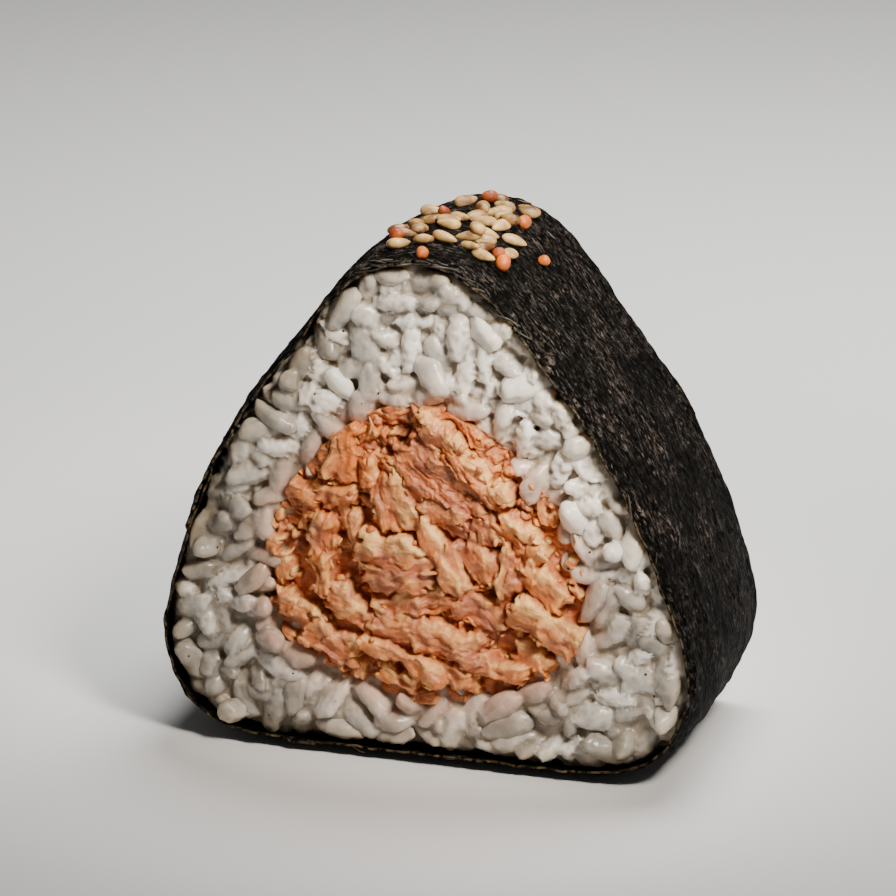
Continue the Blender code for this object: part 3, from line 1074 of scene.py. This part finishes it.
def nori_band(under, material):
    """One strip of nori round the ball, its end lapped over its start, wrinkled over the grains."""
    angles, lengths = way_round()
    total = lengths[-1]
    overlap = np.interp(lap_to, angles, lengths)
    u = np.linspace(0, total, int(total / STRIP_STEP))
    half = (band_high.y - band_low.y) / 2 - STRIP_INSET
    v = half * np.sin(np.linspace(-1, 1, STRIP_ROWS) * EDGE_CROWDING) / math.sin(EDGE_CROWDING)
    u, v = np.meshgrid(u, v, indexing="ij")
    angle = np.interp(u, lengths, angles)
    climb = smooth_step((u - (total - overlap - LAP_CLIMB)) / LAP_CLIMB)
    near_edge = smooth_step((np.abs(v) / half - 0.88) / 0.12)
    flat = np.stack([u, v, np.zeros_like(u)], -1)
    torn = 0.6 * rough(flat, 7 * MM, 51) + 0.45 * rough(flat, 2.2 * MM, 52)
    torn += 0.3 * rough(flat, 0.9 * MM, 53)
    y = v + near_edge * (WAVER * torn) * np.sign(v)
    bumps = np.abs(layered(flat / (2.0, 1.0, 1.0), 3.1 * MM, 54, 2))
    ridges = np.abs(rough(flat / (3.2, 1.0, 1.0), 1.1 * MM, 55))
    fine = rough(flat / (2.2, 1.0, 1.0), 0.7 * MM, 56)
    pleats = rough(flat / (7.0, 1.0, 1.0), 0.8 * MM, 58)
    pleats *= smooth_step((np.abs(v) / half - 0.68) / 0.25)
    relief = BUMP * (bumps - 0.35) - CRINKLE * (1 - ridges) ** 4 + (0.09 * fine + 0.16 * pleats) * MM
    folded = near_edge * HANG * (0.55 + 0.5 * rough(flat, 9 * MM, 57)) * smooth_step(-v / half)
    radius = band_radius(angle, y) + NORI_THICKNESS + climb * LAP_LIFT + relief - folded
    pressed = outermost(under, angle, y) + NORI_THICKNESS + CLEAR_OF_GRAINS
    radius = np.maximum(radius, softened(np.maximum(radius, pressed), 1))
    radius = np.maximum(radius, pressed)
    points = about_axis(angle, radius, y).reshape(-1, 3)
    points[:, 2] = np.maximum(points[:, 2], FLOOR_GAP)
    # Where the sheet stands out, which the material paints with a grey-brown sheen.
    raised = np.clip((bumps - 0.25) * 1.6 + 0.25 * fine, 0, 1)
    values = {"sheet": flat.reshape(-1, 3), "raised": raised.ravel(), "edge": near_edge.ravel()}
    faces = outwards(grid_faces(np.arange(u.size).reshape(u.shape)), points)
    band = make_piece("nori_band", points, faces, values)
    thick = band.modifiers.new("thickness", "SOLIDIFY")
    thick.thickness = NORI_THICKNESS
    thick.offset = -1
    band.data.materials.append(material)
    return band


THREADS = 46
THREAD_KINDS = 5
THREAD_LENGTH, THREAD_WIDTH = 3.6 * MM, 0.30 * MM
NEAR_APEX = 0.75  # the share of the threads that lie about the apex


def thread_form(number):
    bend, lift = (0.8 * MM, 2.0 * MM), (0.15 * MM, 1.6 * MM)
    return strand_form(THREAD_LENGTH, THREAD_WIDTH, 4, 1.0, bend, lift, number + 40)


def nori_threads(material):
    """Torn threads of the nori along its front and back edges, most of them at the apex."""
    draw = np.random.default_rng(19)
    angles, lengths = way_round()
    apex = np.interp(APEX, angles, lengths)
    near_apex = draw.uniform(size=THREADS) < NEAR_APEX
    beside, anywhere = draw.normal(0, 6 * MM, THREADS), draw.uniform(0, lengths[-1], THREADS)
    u = np.where(near_apex, apex + beside, anywhere)
    side = np.where(draw.uniform(size=THREADS) < 0.65, FRONT, BACK)
    y = middle.y + side * ((band_high.y - band_low.y) / 2 - draw.uniform(0.3, 1.6, THREADS) * MM)
    angle = np.interp(u, lengths, angles)
    places = about_axis(angle, band_radius(angle, y) + draw.uniform(-0.6, -0.1, THREADS) * MM, y)
    turns = []
    for way, out in zip(angle, outwards_from_axis(places)):
        tangent = Vector((-math.sin(way), draw.normal(0, 0.14), math.cos(way)))
        turns.append(turn_to(tangent, out, draw.normal(0, 0.3)))
    shapes = templates("thread", THREAD_KINDS, 8, 4, thread_form)
    sizes = draw.uniform(0.6, 1.3, (THREADS, 3))
    values = {"tint": draw.uniform(0, 1, THREADS)}
    kinds = draw.integers(0, THREAD_KINDS, THREADS)
    return scatter("nori_threads", shapes, places, kinds, turns, sizes, material, values)


# ---- Toppings ----------------------------------------------------------------------------------

SEED_KINDS, BEAD_KINDS = 5, 3
SEED_LENGTH, SEED_WIDTH, SEED_THICK = 3.4 * MM, 1.95 * MM, 1.1 * MM
BEAD_SIZE = 2.2 * MM
# The toppings on the apex: place along the band from the apex and depth behind the front edge, in
# millimetres, heading in degrees from the band's own direction, and toasting from 0 to 1.
SEEDS = (
    (-7.5, 14.0, 30, 0.8),
    (-5.0, 6.0, 40, 0.0),
    (-6.0, 24.0, 10, 0.4),
    (-4.0, 12.0, 75, 0.6),
    (-4.0, 17.0, 10, 0.7),
    (-0.5, 15.0, 5, 0.2),
    (0.0, 18.5, -20, 0.5),
    (-1.5, 7.0, 60, 0.1),
    (1.0, 8.5, 0, 0.0),
    (1.5, 21.0, 60, 0.5),
    (2.5, 24.0, 20, 0.6),
    (3.0, 20.0, 15, 0.2),
    (1.0, 34.0, 5, 0.9),
    (3.5, 28.5, -15, 0.4),
    (5.0, 24.5, 30, 0.1),
    (5.5, 20.5, 70, 0.1),
    (8.5, 18.5, -10, 0.1),
    (5.0, 15.5, 0, 0.0),
    (3.5, 11.5, 15, 0.5),
    (5.5, 12.5, 40, 0.4),
    (4.8, 8.5, -30, 0.3),
    (7.0, 8.0, -15, 0.3),
    (9.5, 13.0, 80, 0.2),
    (-2.0, 28.0, 50, 0.5),
    (6.0, 33.0, -30, 0.6),
)
SEEDS_OVER = (
    (-5.2, 15.0, -40, 0.7),
    (-1.0, 16.6, 35, 0.3),
    (2.2, 22.6, -45, 0.6),
    (3.6, 26.4, 50, 0.2),
    (6.2, 22.2, -20, 0.7),
    (4.4, 12.0, -50, 0.2),
    (6.4, 10.2, 55, 0.8),
    (-5.6, 10.6, 10, 0.4),
)
BEADS = (
    (-6.5, 9.5, 0, 0.9),
    (0.0, 1.4, 0, 0.3),
    (7.5, 25.5, 0, 0.1),
    (8.5, 10.5, 0, 0.6),
    (10.0, 8.2, 0, 0.2),
    (13.5, 19.5, 0, 0.2),
    (0.5, 31.5, 0, 0.8),
    (-3.0, 20.5, 0, 0.9),
)


def seed_form(number):
    plump = np.random.default_rng(number).uniform(0.9, 1.15)
    return lump_form((SEED_LENGTH, SEED_WIDTH * plump, SEED_THICK), 0.06, 1.1 * MM, number, 0.34)


def bead_form(number):
    return lump_form((BEAD_SIZE,) * 3, 0.24, 1.5 * MM, number)


def laid_on_nori(rows, under, height):
    """Where the rows' toppings lie on the nori: places, outward directions and headings."""
    angles, lengths = way_round()
    apex = np.interp(APEX, angles, lengths)
    along, back, heading, _ = np.array(rows).T
    angle = np.interp(apex - along * MM, lengths, angles)
    y = band_low.y + back * MM
    places = about_axis(angle, outermost(under, angle, y) + height, y)
    return places, outwards_from_axis(places), np.radians(heading)


def sesame_seeds(name, rows, under, material):
    """Seeds lying flat, each along its heading, on whatever is under them."""
    draw = np.random.default_rng(7)
    places, out, heading = laid_on_nori(rows, under, SEED_THICK * 0.42)
    count = len(places)
    shapes = templates("seed", SEED_KINDS, 10, 12, seed_form)
    turns = []
    for direction, turn in zip(out, heading):
        axis = Vector((direction[2], 0, -direction[0])) * math.cos(turn)
        axis += Vector((0, math.sin(turn), 0))
        axis += Vector(direction) * draw.normal(0, 0.12)
        turns.append(turn_to(axis * draw.choice((-1, 1)), direction, draw.normal(0, 0.35)))
    sizes = draw.normal((1.08, 1.12, 1.3), 0.10, (count, 3))
    values = {"tint": np.array(rows)[:, 3]}
    kinds = draw.integers(0, SEED_KINDS, count)
    return scatter(name, shapes, places, kinds, turns, sizes, material, values)


def toasted_beads(under, material):
    draw = np.random.default_rng(9)
    places, _, _ = laid_on_nori(BEADS, under, BEAD_SIZE * 0.4)
    count = len(places)
    shapes = templates("bead", BEAD_KINDS, 10, 14, bead_form)
    turns = draw.uniform(0, math.tau, (count, 3))
    sizes = draw.normal(1, 0.14, (count, 1)) * draw.uniform(0.8, 1.05, (count, 3))
    values = {"tint": np.array(BEADS)[:, 3]}
    kinds = draw.integers(0, BEAD_KINDS, count)
    return scatter("toasted_beads", shapes, places, kinds, turns, sizes, material, values)


# ---- Materials ---------------------------------------------------------------------------------


def tree_of(*values):
    """The tree of the first socket among the values."""
    return next(value.id_data for value in values if isinstance(value, bpy.types.NodeSocket))


def mixed(factor, low, high):
    """The colour between low and high, by factor."""
    low, high = ((*c, 1.0) if isinstance(c, tuple) else c for c in (low, high))
    inputs = {0: factor, 6: low, 7: high}
    return node(tree_of(factor, low, high), "ShaderNodeMix", inputs, data_type="RGBA").outputs[2]


def sums(operation, *values, clamp=False):
    inputs = dict(enumerate(values))
    made = node(tree_of(*values), "ShaderNodeMath", inputs, operation=operation, use_clamp=clamp)
    return made.outputs[0]


def times(*values):
    return sums("MULTIPLY", *values)


def plus(*values, clamp=False):
    return sums("ADD", *values, clamp=clamp)


def spread(value, low, high, to_low=0.0, to_high=1.0):
    """The value moved from the range low to high into another, kept within it."""
    inputs = {0: value, 1: low, 2: high, 3: to_low, 4: to_high}
    return node(tree_of(value), "ShaderNodeMapRange", inputs).outputs[0]


def noise(vector, scale, detail=2.0, roughness=0.5):
    inputs = {"Vector": vector, "Scale": scale, "Detail": detail, "Roughness": roughness}
    return node(tree_of(vector), "ShaderNodeTexNoise", inputs).outputs[0]


def attribute(tree, name, output="Fac"):
    return node(tree, "ShaderNodeAttribute", attribute_name=name).outputs[output]


def object_place(tree):
    return node(tree, "ShaderNodeTexCoord").outputs["Object"]


def bump(height, strength, distance):
    inputs = {"Strength": strength, "Distance": distance, "Height": height}
    return node(tree_of(height), "ShaderNodeBump", inputs).outputs[0]


def shader_group(name, numbers, outputs):
    """A shader node group with a Vector and named numbers: the tree, what comes in and the end."""
    tree = bpy.data.node_groups.new(name, "ShaderNodeTree")
    tree.interface.new_socket("Vector", in_out="INPUT", socket_type="NodeSocketVector")
    for label, number in numbers.items():
        socket = tree.interface.new_socket(label, in_out="INPUT", socket_type="NodeSocketFloat")
        socket.default_value = number
    for label in outputs:
        tree.interface.new_socket(label, in_out="OUTPUT", socket_type="NodeSocketFloat")
    return tree, node(tree, "NodeGroupInput").outputs, node(tree, "NodeGroupOutput")


def placed_group(group, vector, **numbers):
    inputs = {"Vector": vector, **numbers}
    return node(vector.id_data, "ShaderNodeGroup", inputs, node_tree=group).outputs


def mottle_group():
    """Soft cloudy patches and fine pits, in two sizes, for anything moist."""
    numbers = {"Patches": 400.0, "Pits": 2500.0}
    tree, given, end = shader_group("mottle", numbers, ("Cloud", "Height"))
    cloud = noise(given["Vector"], given["Patches"], 3.0)
    pits = noise(given["Vector"], given["Pits"])
    height = plus(cloud, times(pits, 0.35))
    set_inputs(end, {"Cloud": spread(cloud, 0.35, 0.65), "Height": height})
    return tree


def strands_group():
    """Fine threads along the first axis of a vector, as in seaweed and fish."""
    numbers = {"Length": 0.006, "Width": 0.0005, "Bend": 0.4}
    tree, given, end = shader_group("strands", numbers, ("Strands", "Height"))
    x, y, z = node(tree, "ShaderNodeSeparateXYZ", {0: given["Vector"]}).outputs
    along = sums("DIVIDE", x, given["Length"])
    across = sums("DIVIDE", y, given["Width"])
    place = node(tree, "ShaderNodeCombineXYZ", {0: along, 1: across, 2: z}).outputs[0]
    shift = times(sums("SUBTRACT", noise(place, 0.35, 1.0), 0.5), given["Bend"])
    across = plus(across, times(shift, 6.0))
    bent = node(tree, "ShaderNodeCombineXYZ", {0: along, 1: across, 2: z}).outputs[0]
    threads = noise(bent, 1.0, 3.0, 0.6)
    set_inputs(end, {"Strands": spread(threads, 0.36, 0.64), "Height": threads})
    return tree


def new_material(name):
    material = bpy.data.materials.new(name)
    material.use_nodes = True
    return material, material.node_tree, material.node_tree.nodes["Principled BSDF"]


def cooked_rice(mottle, core=False):
    """Grains from grey and glassy to milky, blushed beside the salmon. Painted shade: darker towards
    the left and bottom, tan beside the nori, deep among the grains, in the grooves and on the core;
    and a painted highlight on the ridges.
    """
    material, tree, shader = new_material("rice_core" if core else "cooked_rice")
    place = object_place(tree)
    marks = placed_group(mottle, place, Patches=380.0, Pits=1500.0)
    tint, hollow = attribute(tree, "tint"), attribute(tree, "hollow")
    milk_and_painted_light = plus(times(marks["Cloud"], 0.24), times(tint, 0.80))
    # Painted highlight: the ridges between the grooves are milkier.
    milk_and_painted_light = plus(milk_and_painted_light, spread(hollow, 0.15, 0.5, 0.16, 0.0))
    flecks = node(tree, "ShaderNodeTexVoronoi", {"Vector": place, "Scale": 260.0})
    base = mixed(milk_and_painted_light, (0.115, 0.097, 0.072), (0.96, 0.90, 0.80))
    for amount, over in (
        (times(attribute(tree, "blush"), 0.45), (0.72, 0.40, 0.26)),
        # Painted shade deep among the grains.
        (times(attribute(tree, "deep"), 0.8), (0.38, 0.31, 0.22)),
        # Painted shade in the grooves between grains.
        (times(spread(hollow, 0.52, 0.95), 0.7), (0.36, 0.29, 0.21)),
        # Painted shade in tan beside the nori.
        (times(attribute(tree, "rim"), 0.65), (0.58, 0.46, 0.31)),
        (spread(flecks.outputs["Distance"], 0.045, 0.065, 1.0, 0.0), (0.05, 0.04, 0.03)),
    ):
        base = mixed(amount, base, over)
    # Painted shade: the core, seen only between the grains, is darker.
    if core:
        base = mixed(0.6, base, (0.34, 0.27, 0.19))
    height = times(marks["Height"], spread(tint, 0.3, 1.0, 0.4, 1.0))
    look = {
        "Base Color": base,
        "Roughness": spread(marks["Cloud"], 0, 1, 0.18, 0.32),
        "Normal": bump(height, 0.5, 0.0005),
        "Subsurface Weight": 0.3 if core else 0.75,
        "Subsurface Scale": 0.0013,
        "Subsurface Radius": (1.0, 0.85, 0.62),
        "IOR": 1.42,
    }
    set_inputs(shader, look)
    return material


def cooked_salmon(strands):
    """Flesh from pink-brown to orange, with cream fat on the upper sides that is partly a painted
    highlight, a painted highlight in cream where it stands up and painted shade in deep red-brown in
    the hollows.
    """
    material, tree, shader = new_material("cooked_salmon")
    shade = {0: attribute(tree, "shade", "Vector")}
    orange, pale, raised = node(tree, "ShaderNodeSeparateXYZ", shade).outputs
    fibre = attribute(tree, "fibre", "Vector")
    threads = placed_group(strands, fibre, Length=0.0030, Width=0.00045, Bend=0.6)
    place = object_place(tree)
    broad, small = noise(place, 260.0, 3.0), noise(place, 1100.0)
    lean = plus(times(orange, 0.6), spread(broad, 0.38, 0.62, -0.15, 0.5), clamp=True)
    base = mixed(lean, (0.44, 0.135, 0.068), (0.74, 0.21, 0.032))
    # Painted highlight in cream where the flesh stands up.
    crest_highlight = times(spread(raised, -0.1, 0.9), spread(small, 0.40, 0.65, 0.0, 0.5))
    # Cream fat on the upper sides, partly a painted highlight, and the painted highlight on the
    # crests.
    cream_and_highlight = plus(times(pale, spread(broad, 0.36, 0.58, 0.25, 1.0)), crest_highlight, clamp=True)
    for amount, over in (
        (times(cream_and_highlight, 0.92), (1.0, 0.60, 0.21)),
        # Painted shade in deep red-brown in the hollows.
        (times(spread(raised, -1.5, 0.05, 1.0, 0.0), 0.8), (0.56, 0.165, 0.055)),
        (spread(threads["Strands"], 0.0, 0.8, 0.40, 0.0), (0.34, 0.075, 0.022)),
    ):
        base = mixed(amount, base, over)
    look = {
        "Base Color": base,
        "Roughness": spread(small, 0.35, 0.65, 0.36, 0.60),
        "Normal": bump(plus(threads["Height"], times(small, 0.8)), 0.7, 0.0003),
        "Subsurface Weight": 0.4,
        "Subsurface Scale": 0.0013,
        "Subsurface Radius": (1.0, 0.4, 0.2),
    }
    set_inputs(shader, look)
    return material


def toasted_nori(strands):
    """Near-black seaweed with lighter fibres, flecked grey-brown with a painted sheen where it stands
    proud, with a frayed tan edge.
    """
    material, tree, shader = new_material("toasted_nori")
    sheet = attribute(tree, "sheet", "Vector")
    coarse = placed_group(strands, sheet, Length=0.0022, Width=0.0009, Bend=0.5)
    fine = placed_group(strands, sheet, Length=0.0013, Width=0.00030, Bend=0.9)
    broad, grain = noise(sheet, 130.0), noise(sheet, 2600.0)
    # Painted sheen in grey-brown where the sheet stands proud.
    sheen_patch = times(spread(coarse["Height"], 0.53, 0.67), spread(broad, 0.42, 0.62, 0.15, 1.0))
    sheen_patch = times(sheen_patch, spread(attribute(tree, "raised"), 0.0, 0.7, 0.4, 1.0))
    thread = times(spread(fine["Height"], 0.54, 0.70), spread(broad, 0.35, 0.6, 0.3, 1.0))
    fibres_and_sheen = sums("MAXIMUM", sheen_patch, times(thread, 0.8))
    fibres_and_sheen = times(fibres_and_sheen, spread(grain, 0.38, 0.58, 0.25, 1.0))
    # Painted shade: the lighter fibres and sheen fade towards the bottom.
    up = node(tree, "ShaderNodeSeparateXYZ", {0: object_place(tree)}).outputs[2]
    fibres_and_sheen = times(fibres_and_sheen, spread(up, 0.0, 0.055, 0.40, 1.0))
    base = mixed(fine["Strands"], (0.0006, 0.0006, 0.0005), (0.0045, 0.0036, 0.0028))
    # The colour of the lighter fibres and of the painted sheen.
    hue = mixed(spread(broad, 0.40, 0.60), (0.17, 0.165, 0.145), (0.21, 0.165, 0.14))
    base = mixed(fibres_and_sheen, base, hue)
    border = times(spread(attribute(tree, "edge"), 0.96, 1.0), spread(fine["Height"], 0.45, 0.60))
    height = plus(plus(coarse["Height"], times(fine["Height"], 0.6)), times(grain, 0.25))
    look = {
        "Base Color": mixed(times(border, 0.6), base, (0.16, 0.115, 0.06)),
        "Roughness": spread(fibres_and_sheen, 0, 1, 0.60, 0.40),
        "Coat Weight": times(fibres_and_sheen, 0.25),
        "Normal": bump(height, 1.0, 0.0007),
        "Specular IOR Level": 0.02,
        "Coat Roughness": 0.36,
    }
    set_inputs(shader, look)
    return material


def toasted(name, mottle, pale, dark, roughness):
    """Toasted unevenly between two colours, each seed or bead with a tint of its own."""
    material, tree, shader = new_material(name)
    marks = placed_group(mottle, object_place(tree), Patches=700.0, Pits=4000.0)
    toast = plus(times(marks["Cloud"], 0.55), times(attribute(tree, "tint"), 0.7))
    look = {
        "Base Color": mixed(toast, pale, dark),
        "Roughness": spread(marks["Cloud"], 0, 1, roughness, roughness + 0.15),
        "Normal": bump(marks["Height"], 0.4, 0.0002),
        "Subsurface Weight": 0.15,
        "Subsurface Scale": 0.0006,
    }
    set_inputs(shader, look)
    return material


# ---- The onigiri -------------------------------------------------------------------------------

mottle, strands = mottle_group(), strands_group()
grain_look = cooked_rice(mottle)
rice_look = cooked_rice(mottle, core=True)
salmon_look = cooked_salmon(strands)
nori_look = toasted_nori(strands)
seed_look, thread_look, bead_look = (
    toasted(name, mottle, pale, dark, roughness)
    for name, pale, dark, roughness in (
        ("toasted_sesame", (0.84, 0.54, 0.20), (0.13, 0.042, 0.008), 0.36),
        ("nori_thread", (0.075, 0.062, 0.038), (0.012, 0.012, 0.008), 0.5),
        ("toasted_bead", (0.86, 0.22, 0.025), (0.24, 0.032, 0.004), 0.42),
    )
)

tables = {side: face_depths(side) for side in (FRONT, BACK)}
grains = rice_face("rice_front", FRONT, tables[FRONT], 41, grain_look)
grains += rice_face("rice_back", BACK, tables[BACK], 43, grain_look)
band = nori_band(grains, nori_look)
seeds = sesame_seeds("sesame_seeds", SEEDS, [band], seed_look)
pieces = {
    "rice": [rice_core(tables, rice_look), *grains],
    "salmon": salmon_filling(salmon_look),
    "nori": [band, nori_threads(thread_look)],
    "sesame": [seeds, sesame_seeds("sesame_seeds_over", SEEDS_OVER, [band, seeds], seed_look)],
    "toasted_beads": [toasted_beads([band], bead_look)],
}

for slot, made in pieces.items():
    for piece in made:
        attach(piece, "root")
for piece in pieces["rice"]:
    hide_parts("rice")
for piece in pieces["salmon"]:
    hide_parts("salmon_filling")
for piece in pieces["nori"]:
    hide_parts("nori")

# ---- Floor, light and camera -------------------------------------------------------------------

FLOOR_SIZE = 8.0
FLOOR_TONE = 0.82


def floor():
    bpy.ops.mesh.primitive_plane_add(size=FLOOR_SIZE, location=(0, 0, 0))
    made = bpy.context.object
    made.name = "floor"
    material, tree, shader = new_material("pale_floor")
    low, high = ((tone,) * 3 for tone in (FLOOR_TONE, FLOOR_TONE * 1.02))
    base = mixed(noise(object_place(tree), 3.0), low, high)
    set_inputs(shader, {"Base Color": base, "Roughness": 0.8})
    made.data.materials.append(material)


def lamp(name, kind, place, aim, power, tint):
    """A lamp that lights the scene and isn't seen itself. Returns its light, to be shaped."""
    light = bpy.data.lights.new(name, kind)
    light.energy = power
    light.color = tint
    made = bpy.data.objects.new(name, light)
    made.location = place
    made.rotation_euler = (Vector(aim) - Vector(place)).to_track_quat("-Z", "Y").to_euler()
    made.visible_camera = False
    bpy.context.scene.collection.objects.link(made)
    return light


def key_lamp():
    """A soft spot from the upper right whose beam thins out towards the floor and the left."""
    place, aim = (0.125, -0.12, 0.195), (0.024, -0.020, 0.062)
    light = lamp("key", "SPOT", place, aim, power=5.2, tint=(1.0, 0.93, 0.84))
    light.spot_size = math.radians(34)
    light.spot_blend = 1.0
    light.shadow_soft_size = 0.035


def rear_lamp():
    """A broad lamp over the ball, turned to the floor behind it."""
    place, aim = (0.05, 0.14, 0.42), (0.0, 0.50, 0.0)
    light = lamp("rear", "AREA", place, aim, power=4.2, tint=(1.0, 0.985, 0.96))
    light.shape = "DISK"
    light.size = 0.3


def surroundings(tint, strength):
    world = bpy.data.worlds.new("studio")
    world.use_nodes = True
    background = world.node_tree.nodes["Background"]
    background.inputs[0].default_value = (*tint, 1)
    background.inputs[1].default_value = strength
    bpy.context.scene.world = world


# The camera stands right of the front face and above it, and looks a little over the middle.
CAMERA_AZIMUTH, CAMERA_ELEVATION = math.radians(17.45), math.radians(17.95)
CAMERA_DISTANCE = 0.5775
CAMERA_LENS = 160.1
CAMERA_SHIFT = (-0.0163, 0.0294)
AIM_HEIGHT = 0.038


def camera():
    data = bpy.data.cameras.new("camera")
    data.lens = CAMERA_LENS
    data.shift_x, data.shift_y = CAMERA_SHIFT
    data.clip_start, data.clip_end = 0.01, 50
    made = bpy.data.objects.new("camera", data)
    a, e = CAMERA_AZIMUTH, CAMERA_ELEVATION
    back = Vector((math.sin(a) * math.cos(e), -math.cos(a) * math.cos(e), math.sin(e)))
    aim = Vector((middle.x, 0, AIM_HEIGHT))
    made.location = aim + back * CAMERA_DISTANCE
    made.rotation_euler = (-back).to_track_quat("-Z", "Y").to_euler()
    bpy.context.scene.collection.objects.link(made)
    bpy.context.scene.camera = made


floor()
key_lamp()
rear_lamp()
surroundings(tint=(1.0, 0.985, 0.96), strength=0.085)
camera()
